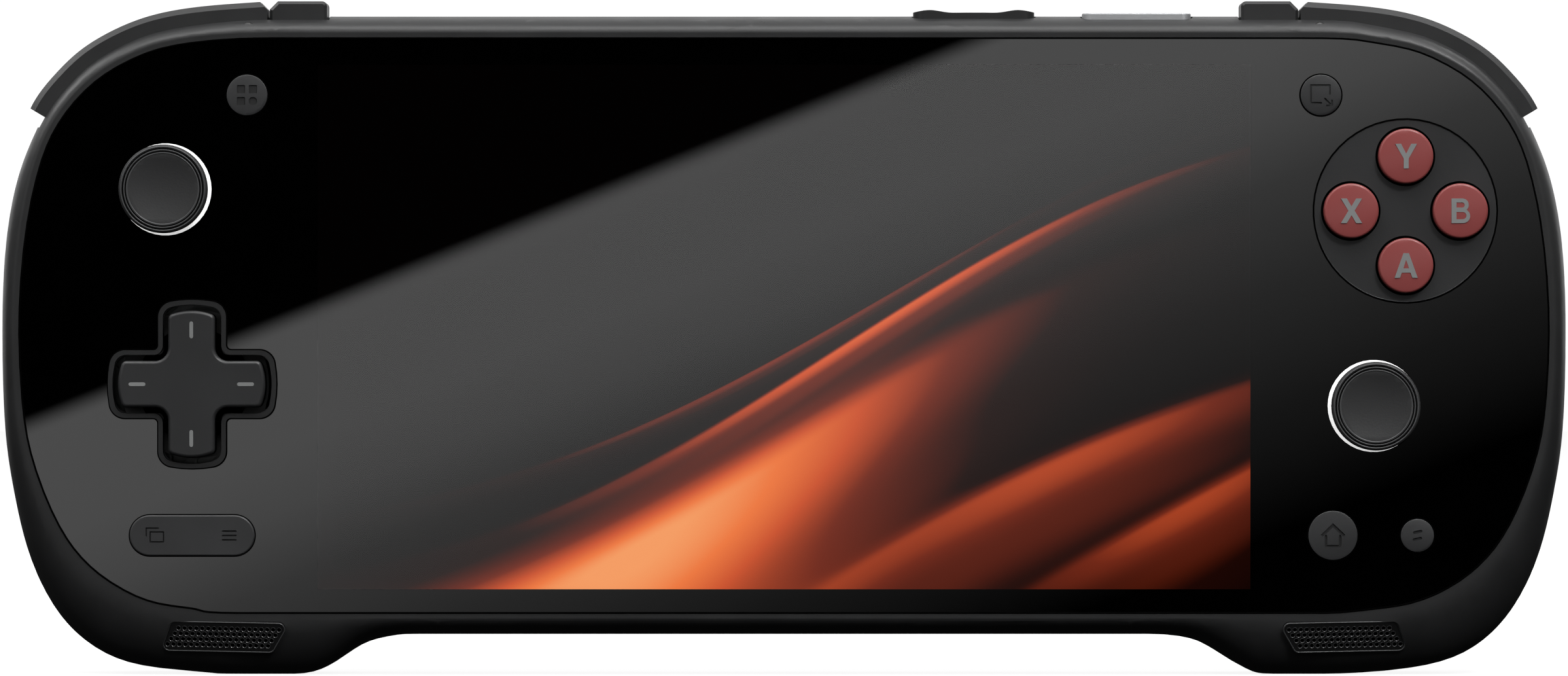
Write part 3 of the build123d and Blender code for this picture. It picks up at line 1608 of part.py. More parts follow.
# Keys in the top edge
volume_place = (volume_centre, glass_y + top_key_depth)
volume_flange_top = top_inner - top_key_rock
with BuildPart() as rocker_bar:
    with BuildSketch(above(volume_flange_top)):
        with Locations(volume_place):
            RectangleRounded(volume_long, volume_wide, volume_wide / 2 - seat_gap)
    extrude(amount=body_height + volume_proud + volume_bump - volume_flange_top)
    with BuildSketch(at(top_key_depth - volume_wide)):
        with BuildLine():
            crown = [
                (volume_centre + x * volume_long / 2, body_height + volume_proud + z * volume_bump)
                for x, z in volume_crown_shares
            ]
            Spline(*crown)
            Polyline(
                crown[-1], (crown[-1][0], volume_flange_top), (crown[0][0], volume_flange_top),
                crown[0],
            )
        make_face()
    extrude(amount=-2 * volume_wide, mode=Mode.INTERSECT)

with BuildPart() as volume_rocker:
    with BuildSketch(above(volume_flange_top - top_key_flange)):
        with Locations((volume_centre, glass_y + top_key_depth + top_key_lip / 2)):
            RectangleRounded(
                volume_long + 2 * top_key_lip, volume_wide + top_key_lip, volume_wide / 2
            )
    extrude(amount=top_key_flange)
    add(rocker_bar.part)
save(volume_rocker.part, "volume_rocker")

with BuildPart() as power_button:
    key_place = (power_centre, glass_y + top_key_depth)
    flange_top = top_inner - power_seat
    with BuildSketch(above(flange_top - top_key_flange)):
        with Locations((power_centre, glass_y + top_key_depth + top_key_lip / 2)):
            RectangleRounded(
                power_long + 2 * top_key_lip, power_wide + top_key_lip, power_wide / 3
            )
    extrude(amount=top_key_flange)
    with BuildSketch(above(flange_top)):
        with Locations(key_place):
            RectangleRounded(power_long, power_wide, power_wide / 3)
    extrude(amount=body_height + power_proud - flange_top)
    fillet(power_button.faces().sort_by(Axis.Z)[-1].edges(), power_proud / 2)
save(power_button.part, "power_button")

# Tact switches under every key, each a body with a nub
with BuildPart() as tact_switches:
    front_places = [place for name, place, radius in small_buttons] + rocker_places
    for x, z in front_places:
        half_switch = switch_side / 2
        add(
            level_box(
                (x - half_switch, board_depth - switch_body, z - half_switch),
                (x + half_switch, board_depth, z + half_switch),
            )
        )
    add(disc(front_places, switch_nub_r, nub_depth, board_depth - switch_body))
    top_spots = [volume_centre + side * volume_long / 3 for side in (-1, 1)] + [power_centre]
    for x in top_spots:
        add(
            level_box(
                (x - switch_side / 2, top_switch_depth - switch_side / 2, shelf_top),
                (x + switch_side / 2, top_switch_depth + switch_side / 2, shelf_top + switch_body),
            )
        )
        nub_top = shelf_top + switch_body + switch_nub
        add(upright((x, top_switch_depth), switch_nub_r, shelf_top + switch_body, nub_top))
    # Under the shoulder keys, on the floors of the front shell's recesses
    for side in (-1, 1):
        x = side * inner_key_mid
        add(
            level_box(
                (x - switch_side / 2, recess_mid - switch_side / 2, key_floor),
                (x + switch_side / 2, recess_mid + switch_side / 2, key_floor + switch_body),
            )
        )
        add(upright((x, recess_mid), switch_nub_r, key_floor + switch_body, key_nub_top))
        with BuildSketch(floor_plane(side, seat_gap)):
            Rectangle(switch_side, switch_side)
        extrude(amount=switch_body)
        with BuildSketch(floor_plane(side, seat_gap + switch_body)):
            Circle(switch_nub_r)
        extrude(amount=switch_nub)
save(tact_switches.part, "tact_switches")

# Screws
with BuildPart() as case_screws:
    add(
        screws(
            case_places, case_boss_end - case_grip, case_head_back, case_head_r, case_head,
            case_screw_r,
        )
    )
save(case_screws.part, "case_screws")

with BuildPart() as board_screws:
    control_places = left_board_bosses + right_board_bosses
    add(
        screws(
            control_places, deck_back + seat_gap, board_back + screw_head, screw_head_r,
            screw_head, screw_r,
        )
    )
    add(
        screws(
            main_places, plate_back + seat_gap, main_back + screw_head, screw_head_r, screw_head,
            screw_r,
        )
    )
save(board_screws.part, "board_screws")
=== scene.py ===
"""Looks of a handheld game console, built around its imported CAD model.

X runs along the console, the screen faces -Y and +Z is up. Everything is in metres.
"""

import json
import math

import bmesh
import bpy
from bpy.props import FloatProperty, FloatVectorProperty, PointerProperty
from mathutils import Matrix, Vector
from mathutils.bvhtree import BVHTree


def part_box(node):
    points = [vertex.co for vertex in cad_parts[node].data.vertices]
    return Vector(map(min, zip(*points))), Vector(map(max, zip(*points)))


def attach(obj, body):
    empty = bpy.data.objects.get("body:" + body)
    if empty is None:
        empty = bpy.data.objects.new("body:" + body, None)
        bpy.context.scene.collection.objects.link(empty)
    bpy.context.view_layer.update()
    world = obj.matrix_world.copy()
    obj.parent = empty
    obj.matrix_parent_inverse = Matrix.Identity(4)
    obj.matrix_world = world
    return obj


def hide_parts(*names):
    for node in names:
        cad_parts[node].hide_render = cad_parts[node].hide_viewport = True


bl_info = {
    "name": "Handheld console",
    "version": (1, 0, 0),
    "blender": (4, 5, 0),
    "location": "View3D > Sidebar > Console",
    "description": "Builds the looks of a handheld game console around its CAD model",
    "category": "Object",
}

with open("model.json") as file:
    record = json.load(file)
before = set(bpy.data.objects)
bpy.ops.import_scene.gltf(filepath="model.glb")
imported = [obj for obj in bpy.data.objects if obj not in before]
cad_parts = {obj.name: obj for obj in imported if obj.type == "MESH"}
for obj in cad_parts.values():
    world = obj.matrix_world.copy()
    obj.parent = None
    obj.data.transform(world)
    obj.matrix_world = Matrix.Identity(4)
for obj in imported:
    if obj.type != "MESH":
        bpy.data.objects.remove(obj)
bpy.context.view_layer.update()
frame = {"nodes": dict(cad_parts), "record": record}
NODES = frame["nodes"]
MM = 0.001
# Distance of doubled corners in the meshes made here
WELD = 0.0001 * MM
# Least cosine between the faces of one flat side, and how much larger than its neighbours a side
# is to keep its own normal at a corner
FLAT = 0.999992
MUCH_LARGER = 5
ROOT = "console"
GLASS_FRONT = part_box("front_glass")[0].y
GLASS_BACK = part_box("front_glass")[1].y
SCREEN_LOW, SCREEN_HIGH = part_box("display_panel")
BODY_OF = {
    node: body for body, nodes in frame["record"]["behaviour"]["bodies"].items() for node in nodes
}


# Node trees


class Tree:
    """Short way to add and join the nodes of a tree."""

    def __init__(self, tree):
        self.tree = tree
        tree.nodes.clear()

    def add(self, kind, values=None, **settings):
        """A node with its settings and the values of its sockets, by name or number."""
        node = self.tree.nodes.new(kind)
        for name, value in settings.items():
            setattr(node, name, value)
        for name, value in (values or {}).items():
            self.put(node.inputs[name], value)
        return node

    def put(self, socket, value):
        """A link where the value is a socket or a node, and a plain value otherwise."""
        if isinstance(value, bpy.types.Node):
            value = value.outputs[0]
        if isinstance(value, bpy.types.NodeSocket):
            self.tree.links.new(value, socket)
        else:
            socket.default_value = value

    def math(self, operation, *values):
        """A math node of one to three values."""
        return self.add("ShaderNodeMath", dict(enumerate(values)), operation=operation)

    def scaled(self, value, factor, offset=0.0):
        """A value times a factor, with an offset."""
        return self.math("MULTIPLY_ADD", value, factor, offset)

    def parts(self, vector):
        """X, Y and Z of a vector."""
        return self.add("ShaderNodeSeparateXYZ", {"Vector": vector}).outputs

    def ramp(self, factor, stops):
        """A colour ramp of places and colours."""
        node = self.add("ShaderNodeValToRGB", {"Fac": factor})
        points = node.color_ramp.elements
        while len(points) < len(stops):
            points.new(1.0)
        for point, (place, colour) in zip(points, stops):
            point.position = place
            point.color = (*colour, 1.0)
        return node

    def mix(self, factor, first, second):
        """A mix of two colours."""
        values = {"Factor": factor, "A": first, "B": second}
        return self.add("ShaderNodeMix", values, data_type="RGBA").outputs["Result"]

    def ranged(self, value, low, high, to_low=0.0, to_high=1.0, **settings):
        """A value brought from one range to another, and kept inside it."""
        values = {
            "Value": value, "From Min": low, "From Max": high, "To Min": to_low, "To Max": to_high
        }
        return self.add("ShaderNodeMapRange", values, **settings)


def grey(level):
    """Neutral colour of one level."""
    return (level, level, level, 1.0)


def shaded(colour, share):
    """Colour made darker or lighter by a share."""
    return (*(channel * share for channel in colour[:3]), 1.0)


class Finish(Tree):
    """Material with a Principled surface and Object coordinates."""

    def __init__(self, name, roughness=0.5, metallic=0.0, ior=1.45, **fixed):
        self.material = bpy.data.materials.new(name)
        self.material.use_nodes = True
        super().__init__(self.material.node_tree)
        self.surface = self.add("ShaderNodeBsdfPrincipled")
        fixed.update(Roughness=roughness, Metallic=metallic, IOR=ior)
        for socket, value in fixed.items():
            self.set(socket.replace("_", " "), value)
        self.add("ShaderNodeOutputMaterial", {"Surface": self.surface})
        self.where = self.add("ShaderNodeTexCoord").outputs["Object"]

    def set(self, socket, value):
        """A value or a link for a socket of the surface."""
        self.put(self.surface.inputs[socket], value)

    def noise(self, scale, detail=3.0, stretch=None):
        """Noise in Object coordinates, with features of about 1 / scale metres."""
        place = self.where
        if stretch:
            place = self.add("ShaderNodeMapping", {"Vector": place, "Scale": stretch})
        settings = {"Vector": place, "Scale": scale, "Detail": detail}
        return self.add("ShaderNodeTexNoise", settings).outputs["Fac"]

    def cells(self, scale, **settings):
        """Distance in square cells of about 1 / scale metres."""
        values = {"Vector": self.where, "Scale": scale}
        node = self.add("ShaderNodeTexVoronoi", values, distance="CHEBYCHEV", **settings)
        return node.outputs["Distance"]

    def tint(self, low, high, scale=90.0, detail=4.0, stretch=None):
        """Base colour that drifts between two colours."""
        factor = self.ramp(self.noise(scale, detail, stretch), [(0.3, low[:3]), (0.7, high[:3])])
        self.set("Base Color", factor)

    def polish(self, low, high, scale=160.0, stretch=None):
        """Roughness that drifts between two levels."""
        level = self.ranged(self.noise(scale, 3.0, stretch), 0.3, 0.7, low, high)
        self.set("Roughness", level)

    def grain(self, scale, distance, strength=0.35, stretch=None, height=None):
        """Fine relief in the surface."""
        if height is None:
            height = self.noise(scale, 2.0, stretch)
        bump = self.add(
            "ShaderNodeBump", {"Height": height, "Strength": strength, "Distance": distance}
        )
        self.set("Normal", bump)


def moulded(
    name, colour, rough, grain_scale=5200.0, grain_depth=0.02 * MM, strength=0.3, drift=0.12,
    shade_painted_from=None,
):
    """Spark-eroded moulded plastic: fine grain, a little drift in tone and gloss.

    Given a value of y, painted shade darkens its sides within a millimetre behind there, as in a deep
    gap.
    """
    finish = Finish(name, roughness=rough)
    finish.tint(shaded(colour, 1 - drift), shaded(colour, 1 + drift))
    # Painted shade: deeper than the given y, base colour and specular fall towards black
    if shade_painted_from is not None:
        depth = finish.parts(finish.where)["Y"]
        painted_shade = finish.ranged(depth, shade_painted_from, shade_painted_from + MM)
        drifting = finish.surface.inputs["Base Color"].links[0].from_socket
        finish.set("Base Color", finish.mix(painted_shade, drifting, grey(0.0004)))
        finish.set("Specular IOR Level", finish.scaled(painted_shade, -0.5, 0.5))
    finish.polish(rough * (1 - 0.7 * drift), min(rough * (1 + 0.8 * drift), 1.0))
    finish.grain(grain_scale, grain_depth, strength)
    return finish.material


def shadow(name, level):
    """Painted shade: matt black put in a narrow gap where shade falls."""
    finish = Finish(name, roughness=0.9, Specular_IOR_Level=0.0)
    finish.tint(grey(level), grey(2 * level), 300.0)
    return finish.material


def brushed(name, colour, rough, stretch=(1.0, 40.0, 40.0), metallic=1.0):
    """Metal with fine lines along one direction."""
    finish = Finish(name, roughness=rough, metallic=metallic)
    finish.tint(shaded(colour, 0.85), shaded(colour, 1.1), 900.0, 3.0, stretch)
    finish.polish(rough * 0.8, rough * 1.3, 1200.0, stretch)
    finish.grain(1500.0, 0.01 * MM, 0.25, stretch)
    return finish.material


def circuit_board(name, colour):
    """Solder mask over tracks, with pads and small chips as flecks."""
    finish = Finish(name, roughness=0.32, ior=1.5)
    black, white, gold = (0.0,) * 3, (1.0,) * 3, (0.5, 0.42, 0.25, 1.0)
    borders = finish.cells(420.0, feature="DISTANCE_TO_EDGE")
    tracks = finish.ramp(borders, [(0.02, black), (0.09, white)])
    pads = finish.ramp(finish.cells(260.0), [(0.10, white), (0.13, black)])
    base = finish.mix(tracks, shaded(colour, 1.7), colour)
    finish.set("Base Color", finish.mix(pads, base, gold))
    finish.grain(0, 0.03 * MM, 0.5, height=tracks)
    return finish.material


def woven(name, colour, pitch):
    """Woven mesh of fine threads."""
    finish = Finish(name, roughness=0.7)
    waves = [
        finish.add(
            "ShaderNodeTexWave", {"Vector": finish.where, "Scale": 1.0 / pitch / math.tau},
            bands_direction=direction,
        ).outputs["Fac"]
        for direction in ("X", "Z")
    ]
    weave = finish.math("MULTIPLY", waves[0], waves[1])
    ramp = finish.ramp(weave, [(0.15, shaded(colour, 1.6)[:3]), (0.6, shaded(colour, 0.2)[:3])])
    finish.set("Base Color", ramp)
    finish.grain(0, 0.1 * MM, 0.6, height=weave)
    return finish.material


# Meshes


def fresh_object(name, mesh):
    """Object of a mesh, in the scene, at the origin."""
    piece = bpy.data.objects.new(name, mesh)
    bpy.context.scene.collection.objects.link(piece)
    return piece


def from_bmesh(name, form):
    """Object of a bmesh, which is freed."""
    mesh = bpy.data.meshes.new(name)
    form.to_mesh(mesh)
    form.free()
    return fresh_object(name, mesh)


def merged(mesh, gap=0.002 * MM):
    """Bmesh of a mesh with its doubled corners merged."""
    form = bmesh.new()
    form.from_mesh(mesh)
    bmesh.ops.remove_doubles(form, verts=form.verts, dist=gap)
    return form


def shade(mesh, angle):
    """Smooth shading with sharp edges over an angle in degrees."""
    mesh.shade_smooth()
    mesh.set_sharp_from_angle(angle=math.radians(angle))


def bake_modifiers(piece):
    """The modifiers' result becomes the mesh, and the modifiers go."""
    graph = bpy.context.evaluated_depsgraph_get()
    mesh = bpy.data.meshes.new_from_object(piece.evaluated_get(graph))
    mesh.name = piece.name
    piece.modifiers.clear()
    piece.data = mesh
    return piece


def flat_regions(form):
    """Region of each face and area of each region, where a region is one flat side."""
    region, area = {}, {}
    for seed in form.faces:
        if seed in region:
            continue
        region[seed] = seed.index
        open_faces, total = [seed], 0.0
        while open_faces:
            face = open_faces.pop()
            total += face.calc_area()
            for edge in face.edges:
                for other in edge.link_faces:
                    if other not in region and other.normal.dot(seed.normal) > FLAT:
                        region[other] = seed.index
                        open_faces.append(other)
        area[seed.index] = total
    return region, area


def even_normals(form, angle):
    """Normal of each corner: flat sides stay flat and the rounding beside them starts there."""
    form.normal_update()
    form.faces.index_update()
    region, area = flat_regions(form)
    limit = math.cos(math.radians(angle))
    normals = {}
    for vert in form.verts:
        left = list(vert.link_loops)
        while left:
            fan = [left.pop()]
            for loop in fan:
                for edge in (loop.edge, loop.link_loop_prev.edge):
                    for other in edge.link_faces:
                        near = next((k for k in left if k.face == other), None)
                        if near and other.normal.dot(loop.face.normal) > limit:
                            left.remove(near)
                            fan.append(near)
            sides = sorted({(area[region[k.face]], region[k.face]) for k in fan}, reverse=True)
            if len(sides) == 1 or sides[0][0] > MUCH_LARGER * sides[1][0]:
                main = max(
                    (k.face for k in fan if region[k.face] == sides[0][1]),
                    key=lambda face: face.calc_area(),
                )
                normal = main.normal.copy()
            else:
                normal = Vector()
                for loop in fan:
                    normal += loop.face.normal * loop.calc_angle()
            if normal.length < 1e-9:
                normal = fan[0].face.normal.copy()
            normal.normalize()
            for loop in fan:
                normals[loop] = normal
    return [normals[loop] for face in form.faces for loop in face.loops]


def dress(piece, body, material=None, replaced=()):
    """Rides, material and replaced nodes of a finished piece."""
    if material:
        piece.data.materials.clear()
        piece.data.materials.append(material)
    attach(piece, body)
    if replaced:
        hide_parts(*replaced)
    return piece


def smooth_copy(node, material, name=None, angle=32.0, edit=None, domed=False):
    """Merged, smooth-shaded copy of a CAD node that takes its place."""
    form = merged(NODES[node].data)
    if edit:
        edit(form)
    normals = None if domed else even_normals(form, angle)
    piece = from_bmesh(name or f"{node}_finish", form)
    shade(piece.data, angle)
    if normals:
        piece.data.normals_split_custom_set(normals)
    return dress(piece, BODY_OF[node], material, [node])


def finish_node(node, material):
    """Material of a CAD node that stays as it is."""
    mesh = NODES[node].data
    mesh.materials.clear()
    mesh.materials.append(material)


def slab(form, outline, front, back):
    """Flat plate of an outline of (x, z) points, between two values of y."""
    rows = [[form.verts.new((x, y, z)) for x, z in outline] for y in (front, back)]
    form.faces.new(rows[0])
    form.faces.new(list(reversed(rows[1])))
    count = len(outline)
    for index in range(count):
        after = (index + 1) % count
        form.faces.new((rows[0][index], rows[1][index], rows[1][after], rows[0][after]))


def rounded_bar(centre, length, width, turn=0.0, corners=7):
    """Outline of a bar with round ends."""
    half, radius = (length - width) / 2, width / 2
    points = []
    for side in (1, -1):
        for step in range(corners + 1):
            a = math.radians(-90 + 180 * step / corners) + (0 if side == 1 else math.pi)
            points.append((side * half + radius * math.cos(a), radius * math.sin(a)))
    c, s = math.cos(turn), math.sin(turn)
    return [(centre[0] + x * c - z * s, centre[1] + x * s + z * c) for x, z in points]


def rounded_box(centre, width, tall, radius, corners=5):
    """Outline of a rectangle with rounded corners."""
    points = []
    for index, (sx, sz) in enumerate(((1, 1), (-1, 1), (-1, -1), (1, -1))):
        x, z = centre[0] + sx * (width / 2 - radius), centre[1] + sz * (tall / 2 - radius)
        for step in range(corners + 1):
            a = math.radians(90 * index + 90 * step / corners)
            points.append((x + radius * math.cos(a), z + radius * math.sin(a)))
    return points


def outward(form):
    """Faces point outwards."""
    bmesh.ops.recalc_face_normals(form, faces=form.faces)


def middle(node):
    """Middle of a node's box."""
    low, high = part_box(node)
    return (low + high) / 2


# Geometry Nodes


class Shaper(Tree):
    """Geometry Nodes tree with named inputs."""

    def __init__(self, name, sizes):
        tree = bpy.data.node_groups.new(name, "GeometryNodeTree")
        super().__init__(tree)
        side = tree.interface
        side.new_socket("Geometry", in_out="INPUT", socket_type="NodeSocketGeometry")
        side.new_socket("Geometry", in_out="OUTPUT", socket_type="NodeSocketGeometry")
        for label, value in sizes.items():
            kind = "NodeSocketInt" if isinstance(value, int) else "NodeSocketFloat"
            socket = side.new_socket(label, in_out="INPUT", socket_type=kind)
            socket.default_value = value
        self.start = self.add("NodeGroupInput")
        self.end = self.add("NodeGroupOutput")

    def size(self, label):
        """Socket of a named size."""
        return self.start.outputs[label]

    def close(self, geometry, material):
        """Realized instances with their material as the tree's result."""
        solid = self.add("GeometryNodeRealizeInstances", {"Geometry": geometry})
        coloured = self.add("GeometryNodeSetMaterial", {"Geometry": solid, "Material": material})
        self.put(self.end.inputs["Geometry"], coloured)
        return self.tree


def grown_by(tree, name, base, sizes):
    """Plain mesh that a Geometry Nodes tree makes from a base mesh."""
    piece = fresh_object(name, base)
    modifier = piece.modifiers.new("shape", "NODES")
    modifier.node_group = tree
    for item in tree.interface.items_tree:
        if item.item_type == "SOCKET" and item.in_out == "INPUT" and item.name in sizes:
            modifier[item.identifier] = sizes[item.name]
    return bake_modifiers(piece)


def points_mesh(name, places, normals):
    """Loose points to grow things on, each with a direction of its own."""
    mesh = bpy.data.meshes.new(name)
    mesh.from_pydata([tuple(place) for place in places], [], [])
    field = mesh.attributes.new("facing", "FLOAT_VECTOR", "POINT")
    for item, normal in zip(field.data, normals):
        item.vector = normal
    return mesh


def tube_tree(material):
    """Tube along every loop of edges."""
    tree = Shaper("tube_along_loops", {"Radius": 0.1 * MM, "Sides": 8})
    path = tree.add("GeometryNodeMeshToCurve", {"Mesh": tree.start.outputs["Geometry"]})
    ring = tree.add(
        "GeometryNodeCurvePrimitiveCircle",
        {"Resolution": tree.size("Sides"), "Radius": tree.size("Radius")}, mode="RADIUS",
    )
    tube = tree.add("GeometryNodeCurveToMesh", {"Curve": path, "Profile Curve": ring})
    return tree.close(tube, material)


def rim_tree(material):
    """Small crater-shaped rim on every point, turned to the point's facing."""
    tree = Shaper(
        "hole_rims", {"Hole": 0.28 * MM, "Lip": 0.07 * MM, "Height": 0.05 * MM, "Corners": 14}
    )
    inner = tree.size("Hole")
    crest = tree.math("ADD", inner, tree.size("Lip"))
    foot = tree.math("ADD", crest, tree.math("MULTIPLY", tree.size("Lip"), 0.4))
    walls = []
    for bottom, top, height in (
        (inner, crest, tree.size("Height")), (foot, crest, tree.size("Height")), (inner, foot, 0.0)
    ):
        wall = tree.add(
            "GeometryNodeMeshCone",
            {"Vertices": tree.size("Corners"), "Radius Top": top, "Radius Bottom": bottom,
             "Depth": height},
            fill_type="NONE",
        )
        walls.append(wall.outputs["Mesh"])
    walls[0] = tree.add("GeometryNodeFlipFaces", {"Mesh": walls[0]})
    walls[2] = tree.add("GeometryNodeFlipFaces", {"Mesh": walls[2]})
    joined = tree.add("GeometryNodeJoinGeometry")
    for wall in walls:
        tree.put(joined.inputs[0], wall)
    rim = tree.add("GeometryNodeMergeByDistance", {"Geometry": joined, "Distance": 0.002 * MM})
    facing = tree.add("GeometryNodeInputNamedAttribute", {"Name": "facing"}, data_type="FLOAT_VECTOR")
    turn = tree.add(
        "FunctionNodeAlignRotationToVector", {"Vector": facing.outputs["Attribute"]}, axis="Z"
    )
    rims = tree.add(
        "GeometryNodeInstanceOnPoints",
        {"Points": tree.start.outputs["Geometry"], "Instance": rim, "Rotation": turn},
    )
    return tree.close(rims, material)


def front_loops(form, facing, limit=0.995):
    """Loops of edges around the flat front that faces one way, each a list of places."""
    flat = {face for face in form.faces if face.normal.dot(facing) > limit}
    border = [edge for edge in form.edges if sum(face in flat for face in edge.link_faces) == 1]
    left = set(border)
    loops = []
    for edge in border:
        if edge not in left:
            continue
        left.discard(edge)
        run = [edge.verts[0], edge.verts[1]]
        while True:
            after = next((e for e in run[-1].link_edges if e in left), None)
            if after is None:
                break
            left.discard(after)
            run.append(after.other_vert(run[-1]))
        if run[0] == run[-1]:
            run.pop()
        loops.append([vert.co.copy() for vert in run])
    return loops


def node_loops(node):
    """Loops of edges around the flat front of a CAD node, the shortest first."""
    form = merged(NODES[node].data)
    loops = front_loops(form, Vector((0, -1, 0)))
    form.free()
    return sorted(loops, key=across)


def across(loop):
    """Width of a loop."""
    return max(place.x for place in loop) - min(place.x for place in loop)


def moved(loop, shift):
    """Loop of places moved backwards."""
    return [place + Vector((0, shift, 0)) for place in loop]


def loops_mesh(name, loops):
    """Edges of closed loops."""
    places, edges = [], []
    for loop in loops:
        start = len(places)
        places += [tuple(place) for place in loop]
        edges += [(start + i, start + (i + 1) % len(loop)) for i in range(len(loop))]
    mesh = bpy.data.meshes.new(name)
    mesh.from_pydata(places, edges, [])
    return mesh


def circle(x, y, z, radius, corners=72):
    """Places round a circle that faces the player."""
    turns = (2 * math.pi * step / corners for step in range(corners))
    return [Vector((x + radius * math.cos(a), y, z + radius * math.sin(a))) for a in turns]


def beads(name, loops, radius, material, body):
    """Thin round trim along closed loops."""
    trim = grown_by(tube_tree(material), name, loops_mesh(f"{name}_paths", loops), {"Radius": radius})
    shade(trim.data, 60)
    return dress(trim, body, material)


# Sizes and colours that a user would change


def tone(label, text, *channels):
    """Colour that a user can change."""
    return FloatVectorProperty(
        name=label, description=text, subtype="COLOR", size=4, default=(*channels, 1.0), min=0, max=1
    )


def measure(label, text, default, low=0.0):
    """Length that a user can change."""
    return FloatProperty(
        name=label, description=text, default=default, min=low, subtype="DISTANCE", unit="LENGTH"
    )


class ConsoleColours(bpy.types.PropertyGroup):
    shell: tone("Shell", "Moulded shell plastic", 0.013, 0.0132, 0.0136)
    control: tone("Controls", "Cross pad, small buttons and caps", 0.02, 0.0203, 0.021)
    button: tone("Face buttons", "Muted red of the four buttons", 0.23, 0.052, 0.05)
    legend: tone("Legends", "Grey of the printed marks", 0.185, 0.19, 0.188)
    ring: tone("Stick rings", "White rings around the sticks", 0.82, 0.82, 0.82)
    metal: tone("Power button", "Silver metal", 0.4, 0.405, 0.415)


class ConsoleSizes(bpy.types.PropertyGroup):
    legend_tall: measure("Legend height", "Height of the letters on the buttons", 3.5 * MM)
    mark_long: measure("Cross pad mark", "Length of the marks on the cross pad", 2.4 * MM)
    # The dark line of the seam is painted shade
    seam: measure("Seam", "Radius of the dark line around each opening in the glass", 0.15 * MM)
    camera_far: measure("Camera distance", "From the front of the glass", 1.15, 0.1)
    glow: FloatProperty(
        name="Screen glow", description="Strength of the lit screen", default=1.0, min=0.0
    )
    haze: FloatProperty(
        name="Softbox", description="Strength of the softbox that the glass mirrors",
        default=1.75, min=0.0,
    )


def colours():
    """The console's colours."""
    return bpy.context.scene.console_colours


def sizes():
    """The console's sizes."""
    return bpy.context.scene.console_sizes


def colour(name):
    """One of the console's colours as a plain tuple."""
    return tuple(getattr(colours(), name))


class ConsoleOperator:
    """Parts that all operators share; each takes its identifier and label from its class."""

    bl_options = {"REGISTER", "UNDO"}

    def __init_subclass__(cls):
        super().__init_subclass__()
        part = cls.__name__.split("_OT_")[1]
        cls.bl_idname = f"console.{part}"
        cls.bl_label = part.replace("_", " ").capitalize()

    def execute(self, context):
        self.build()
        return {"FINISHED"}


class CONSOLE_OT_shells(ConsoleOperator, bpy.types.Operator):
    """Front and rear shell with their moulded grain"""

    def build(self):
        plastic = moulded("shell_plastic", colour("shell"), 0.42)
        smooth_copy("front_frame", plastic)
        smooth_copy("rear_cover", moulded("rear_plastic", colour("shell"), 0.5))


